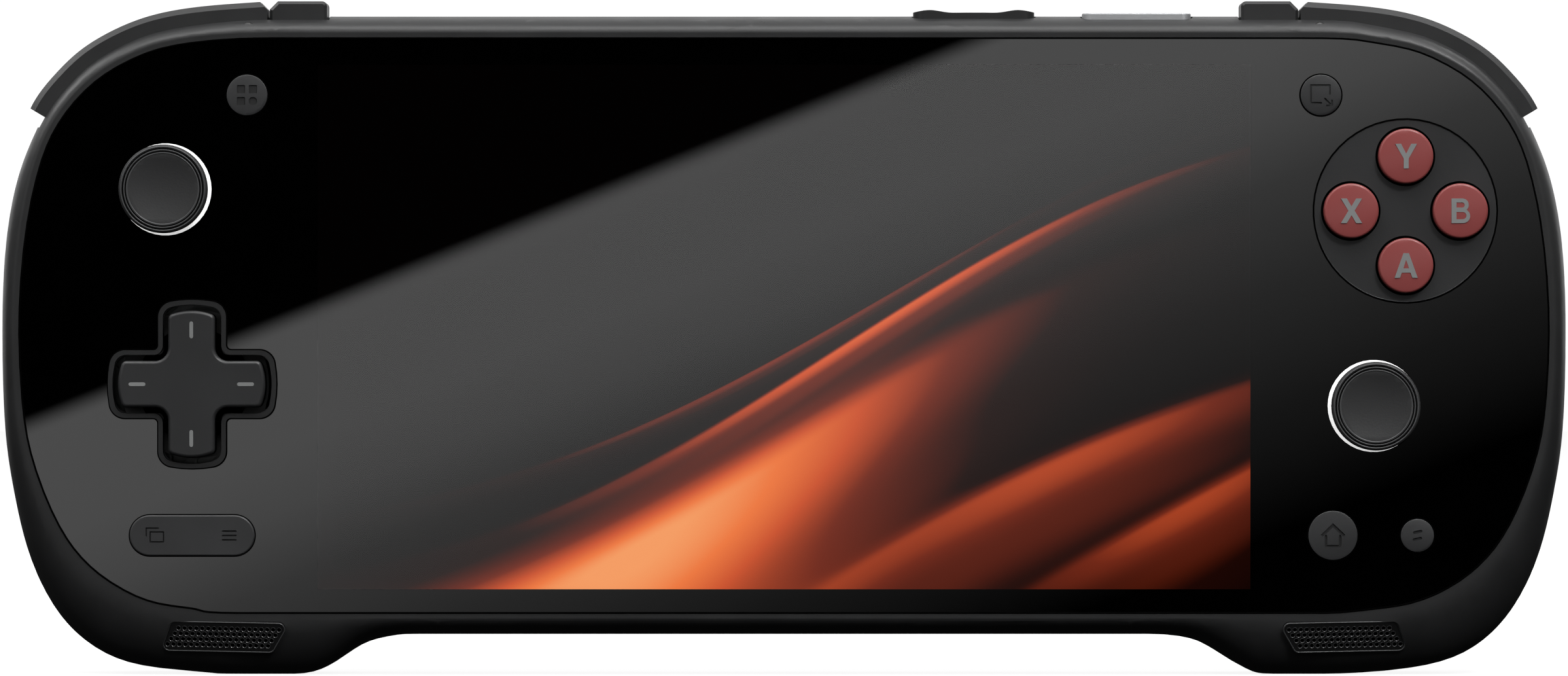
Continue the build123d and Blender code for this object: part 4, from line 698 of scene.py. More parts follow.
class CONSOLE_OT_glass(ConsoleOperator, bpy.types.Operator):
    """Cover glass over its black print and the lit display"""

    # Openings over the first width get a full line of painted shade, those under the second a thin
    # one, and the rocker's, between them, none, as the rocker sweeps past its edge
    wide_opening = 20 * MM
    small_opening = 14 * MM
    thin_share = 0.4
    seam_sunk = 0.04 * MM
    # Black border of the display at its sides and top and at its bottom, and how far the panel
    # reaches under it
    border = 1.4 * MM
    bottom_border = 2.3 * MM
    under_border = 0.5 * MM
    panel_corner = 0.3 * MM
    glue = 0.01 * MM
    # Each ribbon: level at the left, rise, swing, beats, phase, depth of its glow at the left
    # and right, middle and length of its bright part, strength
    ribbons = (
        (-0.08, 0.72, 0.085, 5.0, 3.6, 0.62, 0.10, 0.34, 0.30, 1.02),
        (-0.52, 0.92, 0.060, 5.0, 4.4, 0.20, 0.13, 0.80, 0.24, 0.44),
        (0.06, 0.72, 0.075, 5.2, 3.4, 0.060, 0.028, 0.60, 0.28, 0.60),
        (0.15, 0.68, 0.065, 5.0, 3.2, 0.026, 0.014, 0.50, 0.24, 0.32),
        (-0.90, 1.16, 0.050, 4.4, 5.2, 0.12, 0.12, 0.94, 0.16, 0.36),
    )
    # How fast a ribbon fades above its edge and below it, and the ripples in its glow
    fade_over, fade_under = 7.0, 1.15
    ripple_beats, ripple_share = 9.0, 0.10
    heat = (
        (0.0, (0.0006, 0.0004, 0.0004)), (0.10, (0.012, 0.0022, 0.0012)),
        (0.30, (0.17, 0.020, 0.007)), (0.55, (0.62, 0.085, 0.022)),
        (0.80, (0.88, 0.19, 0.045)), (1.0, (0.95, 0.34, 0.12)),
    )

    def clear_glass(self):
        finish = Finish("cover_glass_clear", roughness=0.0, ior=1.5, Transmission_Weight=1.0)
        finish.set("Base Color", (0.96, 0.965, 0.97, 1.0))
        return finish.material

    def bonded_glass(self):
        """Back of the glass where clear glue of the same refraction joins it to the display."""
        finish = Finish("cover_glass_bonded", roughness=0.0, ior=1.0, Transmission_Weight=1.0)
        finish.set("Base Color", grey(1.0))
        return finish.material

    def black_print(self):
        finish = Finish("cover_glass_printed", roughness=0.0, ior=1.5)
        finish.tint(grey(0.0001), grey(0.0003), 200.0)
        return finish.material

    def picture(self):
        """Soft glowing ribbons on near-black, brightest low in the middle."""
        finish = Finish("lit_picture", roughness=0.4, Specular_IOR_Level=0.0)
        finish.set("Base Color", grey(0.0))
        place = finish.parts(finish.where)
        wide = SCREEN_HIGH.x - SCREEN_LOW.x
        tall = SCREEN_HIGH.z - SCREEN_LOW.z
        u = finish.scaled(place["X"], 1 / wide, -SCREEN_LOW.x / wide)
        v = finish.scaled(place["Z"], 1 / tall, -SCREEN_LOW.z / tall)
        total = 0.0
        for ribbon in self.ribbons:
            total = finish.math("ADD", total, self.glow_of(finish, u, v, *ribbon))
        finish.set("Emission Color", finish.ramp(total, self.heat))
        finish.set("Emission Strength", sizes().glow)
        return finish.material

    def glow_of(self, tree, u, v, low, rise, swing, beats, phase, near, far, mid, reach, strength):
        """Glow of one ribbon: sharp above its waved edge, slow below it and towards its ends."""
        wave = tree.math("SINE", tree.scaled(u, beats, phase))
        edge = tree.scaled(wave, swing, tree.scaled(u, rise, low))
        depth = tree.scaled(u, far - near, near)
        below = tree.math("DIVIDE", tree.math("SUBTRACT", edge, v), depth)
        under = tree.math("MAXIMUM", below, 0.0)
        over = tree.math("MULTIPLY", tree.math("MINIMUM", below, 0.0), self.fade_over)
        falling = tree.scaled(over, over, tree.math("MULTIPLY", under, self.fade_under))
        along = tree.scaled(u, 1 / reach, -mid / reach)
        falling = tree.scaled(along, along, falling)
        ripple = tree.math("SINE", tree.math("MULTIPLY", under, self.ripple_beats))
        ripple = tree.scaled(ripple, self.ripple_share * strength, strength)
        fading = tree.math("EXPONENT", tree.math("MULTIPLY", falling, -1.0))
        return tree.math("MULTIPLY", fading, ripple)

    def build(self):
        low = Vector((SCREEN_LOW.x + self.border, 0, SCREEN_LOW.z + self.bottom_border))
        high = Vector((SCREEN_HIGH.x - self.border, 0, SCREEN_HIGH.z - self.border))

        def in_window(place):
            return low.x < place.x < high.x and low.z < place.z < high.z

        def windowed(form):
            for axis in (0, 2):
                for corner in (low, high):
                    everything = form.verts[:] + form.edges[:] + form.faces[:]
                    normal = Vector((0, 0, 0))
                    normal[axis] = 1
                    bmesh.ops.bisect_plane(form, geom=everything, plane_co=corner, plane_no=normal)

        glass = smooth_copy("front_glass", self.black_print(), "cover_glass", edit=windowed)
        glass.data.materials.append(self.clear_glass())
        glass.data.materials.append(self.bonded_glass())
        for face in glass.data.polygons:
            if abs(face.normal.y) > 0.9 and in_window(face.center):
                face.material_index = 1 if face.normal.y < 0 else 2

        form = bmesh.new()
        centre, span = (low + high) / 2, high - low
        wide, tall = span.x + 2 * self.under_border, span.z + 2 * self.under_border
        outline = rounded_box((centre.x, centre.z), wide, tall, self.panel_corner)
        slab(form, outline, GLASS_BACK + self.glue, SCREEN_HIGH.y)
        outward(form)
        panel = from_bmesh("lit_display", form)
        dress(panel, ROOT, self.picture(), ["display_panel"])

        # Painted shade: matt black tubes along the seams of the openings in the glass
        dark = shadow("seam_shadow", 0.0008)
        loops = [moved(loop, self.seam_sunk) for loop in node_loops("front_glass")]
        wide = [loop for loop in loops if across(loop) > self.wide_opening]
        thin = [loop for loop in loops if across(loop) < self.small_opening]
        beads("glass_seam_shadows", wide, sizes().seam, dark, ROOT)
        beads("opening_seam_shadows", thin, sizes().seam * self.thin_share, dark, ROOT)


class CONSOLE_OT_sticks(ConsoleOperator, bpy.types.Operator):
    """Thumb sticks: rubber caps, shafts, white rings and their modules"""

    # Radius of each ring as a share of the cap's, and radius of its line; the ridge rings are painted
    # highlights, the groove rings painted shade
    ridge_highlight_rings = ((0.81, 0.17 * MM), (0.875, 0.10 * MM), (0.945, 0.12 * MM))
    groove_shade_rings = ((0.845, 0.12 * MM), (0.905, 0.12 * MM))
    proud = 0.04 * MM

    def rings(self, node, cap, label, rings, material):
        """Fine concentric lines on the outer band of a cap, half buried in its surface, in the given
        material: a lighter one paints highlights, a black one paints shade.
        """
        low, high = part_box(node)
        reach = (high.x - low.x) / 2
        centre = middle(node)
        tree = BVHTree.FromObject(cap, bpy.context.evaluated_depsgraph_get())
        for index, (share, radius) in enumerate(rings):
            loop = []
            for place in circle(centre.x, low.y - MM, centre.z, reach * share):
                hit = tree.ray_cast(place, Vector((0, 1, 0)))[0]
                loop.append(hit + Vector((0, radius - self.proud, 0)))
            name = f"{node}_{label}_{index}"
            beads(name, [loop], radius, material, BODY_OF[node])

    def build(self):
        rubber = moulded("cap_rubber", shaded(colour("control"), 0.8), 0.62, 3800.0, 0.03 * MM, 0.45)
        stem = moulded("stem_plastic", shaded(colour("control"), 0.6), 0.4)
        glow = Finish("ring_white", roughness=0.3)
        glow.tint(shaded(colour("ring"), 0.97), colour("ring"), 400.0)
        glow.set("Emission Color", (1.0, 1.0, 1.0, 1.0))
        glow.set("Emission Strength", 0.55)
        smooth_copy("stick_rings", glow.material)
        socket = moulded("module_plastic", grey(0.03), 0.5)
        steel = brushed("pivot_steel", grey(0.42), 0.35)
        # Painted highlight: half-round lines in a copy of the cap colour 2.6 times lighter
        ridge = moulded("cap_ridges", shaded(colour("control"), 2.6), 0.36, 3800.0, 0.01 * MM, 0.2)
        # Painted shade: matt black lines in the grooves of the caps
        groove = shadow("cap_grooves", 0.0015)
        for side in ("left", "right"):
            cap = smooth_copy(f"{side}_stick_cap", rubber, angle=25)
            self.rings(f"{side}_stick_cap", cap, "ridge", self.ridge_highlight_rings, ridge)
            self.rings(f"{side}_stick_cap", cap, "groove", self.groove_shade_rings, groove)
            smooth_copy(f"{side}_stick_shaft", stem)
            finish_node(f"{side}_stick_module", socket)
            finish_node(f"{side}_stick_yoke", steel)
            finish_node(f"{side}_stick_pivot", socket)


class CONSOLE_OT_cross_pad(ConsoleOperator, bpy.types.Operator):
    """Cross pad with its four marks, raised rim, seat and membrane"""

    mark_wide = 0.52 * MM
    mark_at = 7.7 * MM
    mark_proud = 0.02 * MM
    mark_root = 0.1 * MM
    # Depth behind its front to which each piece keeps its full tone, with painted shade
    # that darkens its sides deeper than that
    pad_lit = 0.7 * MM
    rim_lit = 0.15 * MM

    def build(self):
        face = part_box("dpad")[0].y
        pad = moulded("pad_plastic", colour("control"), 0.36, shade_painted_from=face + self.pad_lit)
        smooth_copy("dpad", pad, angle=40)
        rim_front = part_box("dpad_bezel")[0].y
        rim = moulded("rim_plastic", colour("shell"), 0.34, shade_painted_from=rim_front + self.rim_lit)
        smooth_copy("dpad_bezel", rim, angle=40)
        centre = middle("dpad_bezel")
        form = bmesh.new()
        for index in range(4):
            a = math.radians(90 * index)
            place = (centre.x + self.mark_at * math.cos(a), centre.z + self.mark_at * math.sin(a))
            outline = rounded_bar(place, sizes().mark_long, self.mark_wide, a)
            slab(form, outline, face - self.mark_proud, face + self.mark_root)
        outward(form)
        marks = from_bmesh("dpad_marks", form)
        shade(marks.data, 30)
        dress(marks, BODY_OF["dpad"], moulded("mark_grey", colour("legend"), 0.5))
        finish_node("dpad_seat", moulded("seat_plastic", grey(0.05), 0.45))
        finish_node("dpad_membrane", moulded("membrane_rubber", grey(0.3), 0.55))


class CONSOLE_OT_face_buttons(ConsoleOperator, bpy.types.Operator):
    """Four round buttons with their letters, and the plate around them"""

    letter_proud = 0.03 * MM
    letter_half = 0.09 * MM
    gap_line = 0.16 * MM
    gap_sunk = 0.1 * MM
    lip_line = 0.06 * MM
    lip_inset = 0.1 * MM
    lip_sunk = 0.03 * MM
    # Strokes of the letters by their outlines and holes, as shares of their height
    upright_bowl = (0.0, 0.0), (0.0, 1.0), (0.44, 0.74, 0.26, 90, -50), (0.47, 0.285, 0.285, 62, -90)
    outlines = {
        "A": (
            ((0, 0), (0.36, 1), (0.58, 1), (0.94, 0), (0.72, 0), (0.65, 0.21), (0.29, 0.21), (0.22, 0)),
            ((0.355, 0.385), (0.585, 0.385), (0.47, 0.735)),
        ),
        "B": (
            upright_bowl,
            ((0.2, 0.63), (0.2, 0.84), (0.43, 0.735, 0.105, 90, -90)),
            ((0.2, 0.16), (0.2, 0.45), (0.46, 0.305, 0.145, 90, -90)),
        ),
        "X": (
            ((0, 1), (0.24, 1), (0.43, 0.68), (0.62, 1), (0.86, 1), (0.555, 0.505), (0.86, 0),
             (0.62, 0), (0.43, 0.325), (0.24, 0), (0, 0), (0.305, 0.505)),
        ),
        "Y": (
            ((0, 1), (0.235, 1), (0.44, 0.6), (0.645, 1), (0.88, 1), (0.54, 0.4), (0.54, 0),
             (0.34, 0), (0.34, 0.4)),
        ),
    }

    def drawn(self, marks):
        """Points of an outline; a mark of five numbers is an arc: centre, radius, two angles."""
        points = []
        for mark in marks:
            if len(mark) == 2:
                points.append(mark)
                continue
            x, z, radius, start, end = mark
            for step in range(13):
                a = math.radians(start + (end - start) * step / 12)
                points.append((x + radius * math.cos(a), z + radius * math.sin(a)))
        return points

    def letter(self, sign, node, ink):
        """Generic letter standing proud of a button."""
        curve = bpy.data.curves.new(f"letter_{sign}", "CURVE")
        curve.dimensions = "2D"
        curve.fill_mode = "BOTH"
        curve.extrude = self.letter_half
        for marks in self.outlines[sign]:
            points = self.drawn(marks)
            spline = curve.splines.new("POLY")
            spline.points.add(len(points) - 1)
            for point, (x, z) in zip(spline.points, points):
                point.co = (x * sizes().legend_tall, z * sizes().legend_tall, 0.0, 1.0)
            spline.use_cyclic_u = True
        flat = fresh_object(f"letter_{sign}", curve)
        graph = bpy.context.evaluated_depsgraph_get()
        mesh = bpy.data.meshes.new_from_object(flat.evaluated_get(graph))
        bpy.data.objects.remove(flat)
        mesh.transform(Matrix.Rotation(math.radians(90), 4, "X"))
        form = merged(mesh, WELD)
        low, high = (
            Vector([end(v.co[axis] for v in form.verts) for axis in range(3)]) for end in (min, max)
        )
        place = middle(node)
        place.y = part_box(node)[0].y + self.letter_half - self.letter_proud
        bmesh.ops.translate(form, verts=form.verts, vec=place - (low + high) / 2)
        outward(form)
        dress(from_bmesh(f"{node}_letter", form), BODY_OF[node], ink)

    def build(self):
        red = moulded("button_red", colour("button"), 0.28, 4200.0, 0.01 * MM, 0.05, drift=0.02)
        ink = moulded("letter_grey", colour("legend"), 0.5, 3000.0, 0.01 * MM, 0.1)
        for sign in "ABXY":
            node = f"button_{sign.lower()}"
            smooth_copy(node, red, angle=40, domed=True)
            self.letter(sign, node, ink)
        plate = "face_button_plate"
        smooth_copy(plate, moulded("plate_plastic", colour("control"), 0.36))
        *holes, rim = node_loops(plate)
        # Painted shade: matt black tubes in the gaps around the buttons
        gap_shade_loops = [moved(loop, self.gap_sunk) for loop in holes]
        dark = shadow("gap_shadow", 0.0004)
        beads("button_gap_shadows", gap_shade_loops, self.gap_line, dark, ROOT)
        centre = sum(rim, Vector()) / len(rim)
        reach = max((place - centre).length for place in rim) - self.lip_inset
        highlight_lip = circle(centre.x, centre.y + self.lip_sunk, centre.z, reach, 120)
        # Painted highlight: the bead along the plate's edge is a copy of its colour 1.6 times lighter;
        # its gloss also catches the lamps
        gloss = moulded("plate_lip", shaded(colour("control"), 1.6), 0.34, 5200.0, 0.002 * MM, 0.1)
        beads("plate_lip", [highlight_lip], self.lip_line, gloss, ROOT)
        finish_node("face_button_membrane", moulded("button_membrane", grey(0.3), 0.55))


class CONSOLE_OT_small_buttons(ConsoleOperator, bpy.types.Operator):
    """Small round buttons and the pill rocker, with plain icons"""

    depth = 0.22 * MM
    # Shapes in mm from the middle of their button: a box has its place, width, height and corner
    # radius, a bar its place, length, width and turn in degrees, and a path its points
    upright, slant = 90, -45
    icons = {
        "apps_button": [
            ("box", -0.85, 0.85, 1.15, 1.15, 0.12), ("box", 0.85, 0.85, 1.15, 1.15, 0.12),
            ("box", -0.85, -0.85, 1.15, 1.15, 0.12), ("box", 0.85, -0.85, 1.15, 1.15, 0.5),
        ],
        "capture_button": [
            ("bar", -0.1, 1.4, 2.96, 0.26, 0), ("bar", -1.45, 0.15, 2.5, 0.26, upright),
            ("bar", -0.7075, -1.1, 1.628, 0.26, 0), ("bar", 1.25, 0.7125, 1.375, 0.26, upright),
            ("bar", 1.0, -0.95, 1.5, 0.26, slant), ("bar", 1.15, -1.5, 0.95, 0.26, 0),
            ("bar", 1.55, -1.1, 0.95, 0.26, upright),
        ],
        "home_button": [
            ("path", -1.75, 0.1, -1.45, -0.2, 0, 1.15, 1.45, -0.2, 1.75, 0.1, 0, 1.75),
            ("bar", -1.0, -0.75, 1.7, 0.36, upright), ("bar", 1.0, -0.75, 1.7, 0.36, upright),
            ("bar", 0, -1.5, 2.3, 0.36, 0),
        ],
        "quick_button": [
            ("bar", -0.03, -0.5, 1.35, 0.42, 12.605), ("bar", 0.03, 0.5, 1.35, 0.42, 12.605),
        ],
        "option_rocker": [
            ("bar", -5.0, 0.5, 2.1, 0.2, 0), ("bar", -5.95, -0.2, 1.4, 0.2, upright),
            ("bar", -5.0, -0.9, 2.1, 0.2, 0), ("bar", -4.05, -0.2, 1.4, 0.2, upright),
            ("bar", -5.65, 1.05, 1.9, 0.2, 0), ("bar", -6.5, 0.5, 1.3, 0.2, upright),
            ("bar", 5.3, -0.62, 2.1, 0.24, 0), ("bar", 5.3, 0, 2.1, 0.24, 0),
            ("bar", 5.3, 0.62, 2.1, 0.24, 0),
        ],
    }

    def outline(self, centre, shape, *numbers):
        """Outline of one shape of an icon."""
        places = [
            (centre.x + right * MM, centre.z + up * MM)
            for right, up in zip(numbers[::2], numbers[1::2])
        ]
        if shape == "path":
            return places
        wide, tall, last = numbers[2:]
        if shape == "box":
            return rounded_box(places[0], wide * MM, tall * MM, last * MM)
        return rounded_bar(places[0], wide * MM, tall * MM, math.radians(last))

    def icon(self, node, ink):
        """Shapes engraved into a button, with a darker floor of painted shade."""
        button = bpy.data.objects[f"{node}_finish"]
        front = min(v.co.y for v in button.data.vertices)
        for shape in self.icons[node]:
            form = bmesh.new()
            slab(form, self.outline(middle(node), *shape), front - MM, front + self.depth)
            outward(form)
            tool = from_bmesh("icon_tool", form)
            tool.data.materials.append(ink)
            cut = button.modifiers.new("cut", "BOOLEAN")
            cut.object = tool
            cut.solver = "EXACT"
            cut.operation = "DIFFERENCE"
            cut.material_mode = "TRANSFER"
            bake_modifiers(button)
            bpy.data.objects.remove(tool)
        form = merged(button.data, WELD)
        normals = even_normals(form, 30)
        form.to_mesh(button.data)
        form.free()
        button.data.shade_smooth()
        button.data.normals_split_custom_set(normals)

    def build(self):
        plastic = moulded("small_button_plastic", shaded(colour("control"), 1.35), 0.4)
        # Painted shade: the icons' floors get a copy of the controls' colour about a third as light
        ink = moulded("icon_dark", shaded(colour("control"), 0.45), 0.5, 3000.0, 0.01 * MM, 0.1)
        for node in self.icons:
            smooth_copy(node, plastic, angle=40)
            self.icon(node, ink)


class CONSOLE_OT_shoulders(ConsoleOperator, bpy.types.Operator):
    """Bumpers, inner keys, triggers and their pins"""

    def build(self):
        key = moulded("key_plastic", colour("shell"), 0.46)
        trigger = moulded("trigger_plastic", shaded(colour("shell"), 0.9), 0.52)
        for side in ("left", "right"):
            for piece, material in (("bumper", key), ("inner_key", key), ("trigger", trigger)):
                smooth_copy(f"{side}_{piece}", material, angle=28)
        finish_node("shoulder_pins", brushed("pin_steel", grey(0.5), 0.25))


class CONSOLE_OT_top_edge(ConsoleOperator, bpy.types.Operator):
    """Air grille, volume rocker and metal power button"""

    def build(self):
        smooth_copy("exhaust_grille", moulded("exhaust_plastic", shaded(colour("shell"), 0.7), 0.5))
        smooth_copy("volume_rocker", moulded("rocker_plastic", colour("shell"), 0.42), angle=30)
        silver = brushed("power_metal", colour("metal"), 0.5, metallic=0.85)
        smooth_copy("power_button", silver, angle=30)


class CONSOLE_OT_speakers(ConsoleOperator, bpy.types.Operator):
    """Speaker grilles with painted highlights on the rims of their holes and on their edges, and the
    speakers
    """

    widest_hole = MM
    rim_sunk = 0.01 * MM
    rim_tall = 0.06 * MM
    edge_sunk = 0.03 * MM
    edge_line = 0.11 * MM

    def build(self):
        plastic = moulded("speaker_plastic", shaded(colour("shell"), 0.5), 0.32)
        # Painted highlight: rims and edge beads in a copy of the shell colour 2.6 times lighter; their
        # gloss also catches the lamps
        highlight_lip = moulded("speaker_lip", shaded(colour("shell"), 2.6), 0.24, 5200.0, 0.005 * MM, 0.1)
        grille = smooth_copy("speaker_grilles", plastic, angle=30)
        form = merged(grille.data, WELD)
        form.normal_update()
        edges, centres, facings = [], [], []
        for side in (-1, 1):
            front = max(
                (f for f in form.faces if f.calc_center_median().x * side > 0 and f.normal.y < -0.5),
                key=lambda face: face.calc_area(),
            ).normal.copy()
            for loop in front_loops(form, front, limit=0.9999):
                if loop[0].x * side < 0:
                    continue
                centre = sum(loop, Vector()) / len(loop)
                if max((place - centre).length for place in loop) < self.widest_hole:
                    centres.append(centre - front * self.rim_sunk)
                    facings.append(front)
                else:
                    edges.append([place - front * self.edge_sunk for place in loop])
        form.free()
        holes = points_mesh("hole_places", centres, facings)
        rims = grown_by(rim_tree(highlight_lip), "speaker_hole_rim_highlights", holes, {"Height": self.rim_tall})
        shade(rims.data, 30)
        dress(rims, ROOT, highlight_lip)
        beads("speaker_edge_highlights", edges, self.edge_line, highlight_lip, ROOT)
        finish_node("speakers", moulded("speaker_cone", grey(0.02), 0.7))


class CONSOLE_OT_inside(ConsoleOperator, bpy.types.Operator):
    """Boards, battery, cooling, ports, switches and screws"""

    # Node, name of its material, colour and roughness; the deep metals are brushed along Y
    deep_lines = (40.0, 1.0, 40.0)
    metals = (
        ("mid_plate", "mid_metal", grey(0.5), 0.4),
        ("heat_pipe", "pipe_copper", (0.72, 0.35, 0.2, 1.0), 0.28),
        ("usb_c_port", "port_steel", grey(0.5), 0.3),
        ("card_slot", "slot_steel", grey(0.5), 0.35),
        ("tact_switches", "switch_steel", grey(0.5), 0.35),
        ("board_screws", "screw_steel", grey(0.5), 0.3),
    )
    deep_metals = (
        ("heat_sink", "fin_aluminium", grey(0.62), 0.3),
        ("rumble_motors", "motor_steel", grey(0.45), 0.3),
    )
    plastics = (
        ("battery", "battery_film", grey(0.03), 0.3),
        ("fan_housing", "blower_plastic", grey(0.02), 0.5),
        ("fan_rotor", "rotor_plastic", grey(0.03), 0.45),
        ("processor", "chip_silicon", grey(0.05), 0.2),
        ("headphone_jack", "jack_plastic", grey(0.02), 0.4),
    )

    def build(self):
        board = circuit_board("board_green", (0.002, 0.009, 0.005, 1.0))
        for node in ("mainboard", "left_control_board", "right_control_board"):
            finish_node(node, board)
        for node, *looks in self.metals:
            finish_node(node, brushed(*looks))
        for node, *looks in self.deep_metals:
            finish_node(node, brushed(*looks, self.deep_lines))
        for node, *looks in self.plastics:
            finish_node(node, moulded(*looks))
        finish_node("intake_mesh", woven("dust_mesh", grey(0.03), 0.5 * MM))
        smooth_copy("case_screws", brushed("case_screw_steel", grey(0.05), 0.35))


class CONSOLE_OT_stage(ConsoleOperator, bpy.types.Operator):
    """Pale floor and backdrop, lamps, softbox card and camera"""

    photo = (2397, 1033)
    # Pixels where X and Z are 0
    zero_column, zero_row = 1198.5, 1031
    metres_per_pixel = 0.0932 * MM
    closer = 0.9975
    stage_half = 3
    card_behind = 1.9
    card_low, card_high, card_half = -0.9, 0.8, 1.2
    # Two pixels on the edge of the softbox in the photograph, and how far the edge is blurred
    # above and below them
    card_edge = ((48, 645), (1498, 60))
    edge_blur = (-14.0, 22.0)
    # Level of the mirrored softbox by distance below its edge, in pixels of the photograph
    fall = ((0, 1.0), (180, 0.95), (270, 0.8), (373, 0.49), (522, 0.27), (690, 0.11), (870, 0.0))
    # Level of the sky at the bottom and top of its fade, by height in a unit box
    sky_heights, sky_levels = (-0.15, 0.75), (0.01, 0.85)
    # Lamps aim at a point in the console: name, place, width, height, power
    lit_height = 0.05
    lamps = (
        ("top_strip", (0.0, -0.3, 0.9), 1.2, 0.5, 8.0),
        ("key", (0.5, -1.0, 0.95), 0.25, 0.25, 9.5),
        ("fill", (-0.9, -1.1, 0.5), 0.6, 0.6, 1.6),
        ("back_left", (-1.3, 0.3, 1.2), 0.8, 0.8, 9.0),
        ("back_right", (0.9, 1.1, 1.3), 0.7, 0.7, 11.0),
    )

    def background(self, name, seen, strength):
        """Pale surface that the camera sees as white and that keeps a soft shadow."""
        material = bpy.data.materials.new(name)
        material.use_nodes = True
        tree = Tree(material.node_tree)
        path = tree.add("ShaderNodeLightPath")
        sight = tree.math("MAXIMUM", path.outputs["Is Camera Ray"], path.outputs["Is Glossy Ray"])
        sight = tree.math("MAXIMUM", sight, path.outputs["Is Transmission Ray"])
        paint = tree.add("ShaderNodeBsdfDiffuse", {"Color": grey(seen)})
        glow = tree.add("ShaderNodeEmission", {"Color": grey(1.0), "Strength": strength})
        both = tree.add("ShaderNodeAddShader", {0: glow, 1: paint})
        mixed = tree.add("ShaderNodeMixShader", {"Fac": sight, 1: paint, 2: both})
        tree.add("ShaderNodeOutputMaterial", {"Surface": mixed})
        return material

    def plane(self, name, corners, material):
        """Flat piece of the stage, which isn't part of the console."""
        mesh = bpy.data.meshes.new(name)
        mesh.from_pydata(corners, [], [(0, 1, 2, 3)])
        mesh.materials.append(material)
        piece = fresh_object(name, mesh)
        return piece

    def hide_from(self, piece, *rays):
        """Some kinds of rays pass through a piece."""
        for ray in rays:
            setattr(piece, f"visible_{ray}", False)

    def lamp(self, name, place, wide, tall, power):
        """Area lamp that aims at the console."""
        light = bpy.data.lights.new(name, "AREA")
        light.shape = "RECTANGLE"
        light.size = wide
        light.size_y = tall
        light.energy = power
        lamp = fresh_object(name, light)
        lamp.location = place
        aim = Vector((0, 0, self.lit_height)) - Vector(place)
        lamp.rotation_euler = aim.to_track_quat("-Z", "Y").to_euler()

    def softbox_card(self):
        """Card behind the camera, dark above a slanted edge and glowing below it."""
        material = bpy.data.materials.new("softbox_card")
        material.use_nodes = True
        tree = Tree(material.node_tree)
        place = tree.parts(tree.add("ShaderNodeTexCoord").outputs["Object"])
        eye = self.eye()
        spread = (sizes().camera_far + self.card_behind) / sizes().camera_far
        ends = []
        for column, row in self.card_edge:
            x, z = self.on_glass(column, row)
            ends.append((eye.x + (x - eye.x) * spread, eye.z + (z - eye.z) * spread))
        run, rise = ends[1][0] - ends[0][0], ends[1][1] - ends[0][1]
        length = math.hypot(run, rise)
        across = (rise / length, -run / length)
        pixel = self.metres_per_pixel * spread
        offset = -(ends[0][0] * across[0] + ends[0][1] * across[1]) / pixel
        down = tree.scaled(place["X"], across[0] / pixel, offset)
        down = tree.scaled(place["Z"], across[1] / pixel, down)
        start, end = self.edge_blur
        edge = tree.ranged(down, start, end, interpolation_type="SMOOTHSTEP")
        reach = self.fall[-1][0]
        far = tree.math("DIVIDE", down, reach)
        level = tree.ramp(far, [(below / reach, (share,) * 3) for below, share in self.fall])
        level = tree.math("MULTIPLY", level, edge)
        level = tree.math("MULTIPLY", level, sizes().haze)
        glow = tree.add("ShaderNodeEmission", {"Color": grey(1.0), "Strength": level})
        tree.add("ShaderNodeOutputMaterial", {"Surface": glow})
        return material

    def eye(self):
        """Place of the camera."""
        wide, tall = self.photo
        x, z = self.on_glass(wide / 2, tall / 2)
        return Vector((x, GLASS_FRONT - sizes().camera_far, z))

    def on_glass(self, column, row):
        """Place on the glass of a pixel of the photograph."""
        x, z = column - self.zero_column, self.zero_row - row
        return x * self.metres_per_pixel, z * self.metres_per_pixel

    def build(self):
        scene = bpy.context.scene
        eye = self.eye()
        camera = bpy.data.cameras.new("camera")
        camera.sensor_width = 36.0
        across = self.photo[0] * self.metres_per_pixel * self.closer
        camera.lens = 36.0 * sizes().camera_far / across
        camera.clip_start = 0.01
        view = fresh_object("camera", camera)
        view.location = eye
        view.rotation_euler = (math.radians(90), 0, 0)
        scene.camera = view

        paint = self.background("floor_paint", 0.14, 0.9)
        half = self.stage_half
        corners = [(-half, -half, 0), (half, -half, 0), (half, half, 0), (-half, half, 0)]
        floor = self.plane("floor", corners, paint)
        self.hide_from(floor, "glossy", "transmission", "diffuse")
        wall = self.background("backdrop_paint", 0.1, 1.0)
        corners = [(-half, half, 0), (half, half, 0), (half, half, half), (-half, half, half)]
        self.plane("backdrop", corners, wall)

        y, wide = GLASS_FRONT - self.card_behind, self.card_half
        low, high = self.card_low, self.card_high
        corners = [(-wide, y, low), (wide, y, low), (wide, y, high), (-wide, y, high)]
        card = self.plane("softbox", corners, self.softbox_card())
        self.hide_from(card, "camera", "diffuse", "shadow")

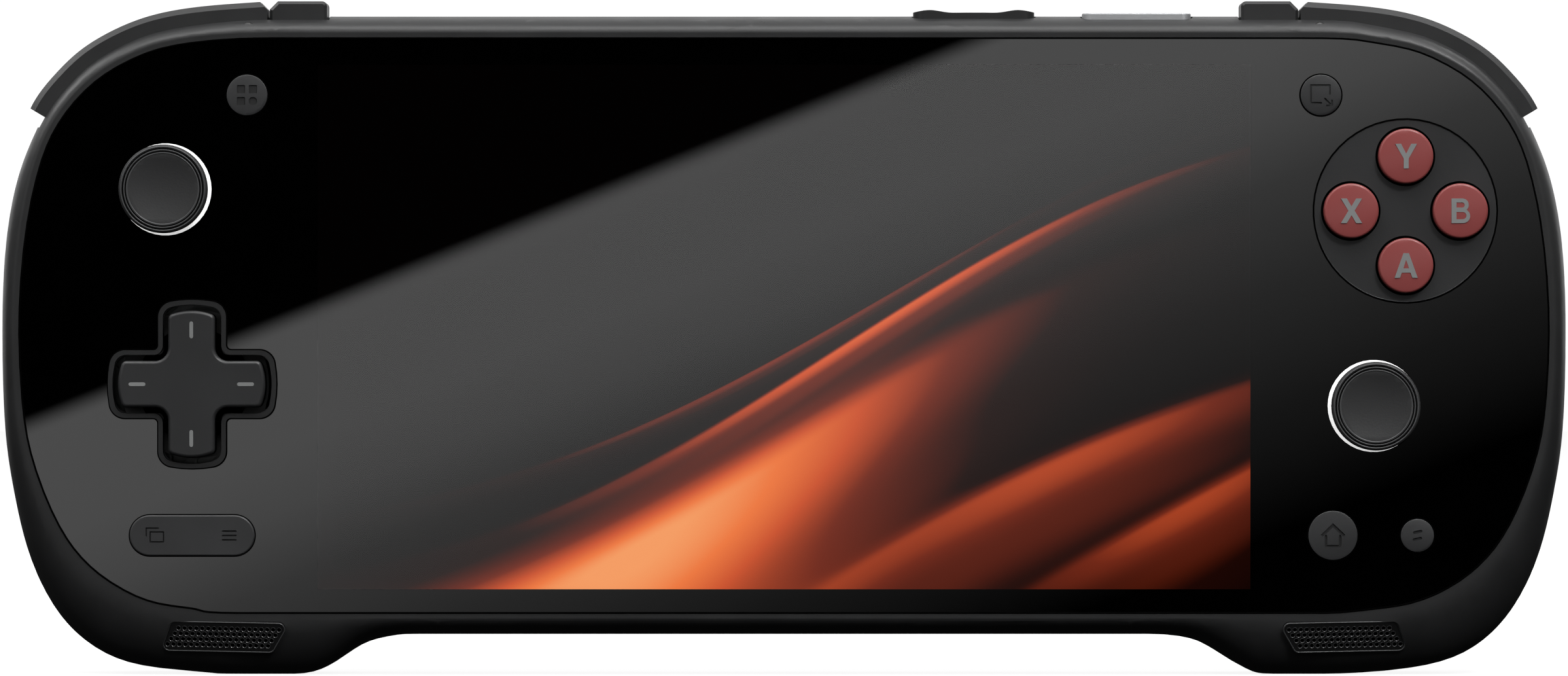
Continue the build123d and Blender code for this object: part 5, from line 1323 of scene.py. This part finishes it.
        world = bpy.data.worlds.new("studio")
        scene.world = world
        world.use_nodes = True
        tree = Tree(world.node_tree)
        path = tree.add("ShaderNodeLightPath")
        height = tree.parts(tree.add("ShaderNodeTexCoord").outputs["Generated"])["Z"]
        sky = tree.ranged(height, *self.sky_heights, *self.sky_levels, interpolation_type="SMOOTHSTEP")
        soft = tree.add("ShaderNodeBackground", {"Color": grey(1.0), "Strength": sky})
        white = tree.add("ShaderNodeBackground", {"Color": grey(1.0), "Strength": 1.0})
        mixed = tree.add(
            "ShaderNodeMixShader", {"Fac": path.outputs["Is Camera Ray"], 1: soft, 2: white}
        )
        tree.add("ShaderNodeOutputWorld", {"Surface": mixed})

        for lamp in self.lamps:
            self.lamp(*lamp)
        scene.view_settings.view_transform = "Standard"


OPERATORS = (
    CONSOLE_OT_shells,
    CONSOLE_OT_glass,
    CONSOLE_OT_sticks,
    CONSOLE_OT_cross_pad,
    CONSOLE_OT_face_buttons,
    CONSOLE_OT_small_buttons,
    CONSOLE_OT_shoulders,
    CONSOLE_OT_top_edge,
    CONSOLE_OT_speakers,
    CONSOLE_OT_inside,
    CONSOLE_OT_stage,
)


class CONSOLE_PT_panel(bpy.types.Panel):
    """Sidebar panel that lists the operators"""

    bl_idname = "CONSOLE_PT_panel"
    bl_label = "Console"
    bl_space_type = "VIEW_3D"
    bl_region_type = "UI"
    bl_category = "Console"

    def draw(self, context):
        for operator in OPERATORS:
            self.layout.operator(operator.bl_idname)
        for group in (context.scene.console_colours, context.scene.console_sizes):
            for name in group.bl_rna.properties.keys():
                if name not in ("rna_type", "name"):
                    self.layout.prop(group, name)


CLASSES = (ConsoleColours, ConsoleSizes, *OPERATORS, CONSOLE_PT_panel)


def register():
    for cls in CLASSES:
        bpy.utils.register_class(cls)
    bpy.types.Scene.console_colours = PointerProperty(type=ConsoleColours)
    bpy.types.Scene.console_sizes = PointerProperty(type=ConsoleSizes)


def unregister():
    del bpy.types.Scene.console_colours
    del bpy.types.Scene.console_sizes
    for cls in reversed(CLASSES):
        bpy.utils.unregister_class(cls)


def main():
    """Builds the console."""
    register()
    for operator in OPERATORS:
        group, name = operator.bl_idname.split(".")
        getattr(getattr(bpy.ops, group), name)()
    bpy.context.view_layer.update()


if __name__ == "__main__":
    main()
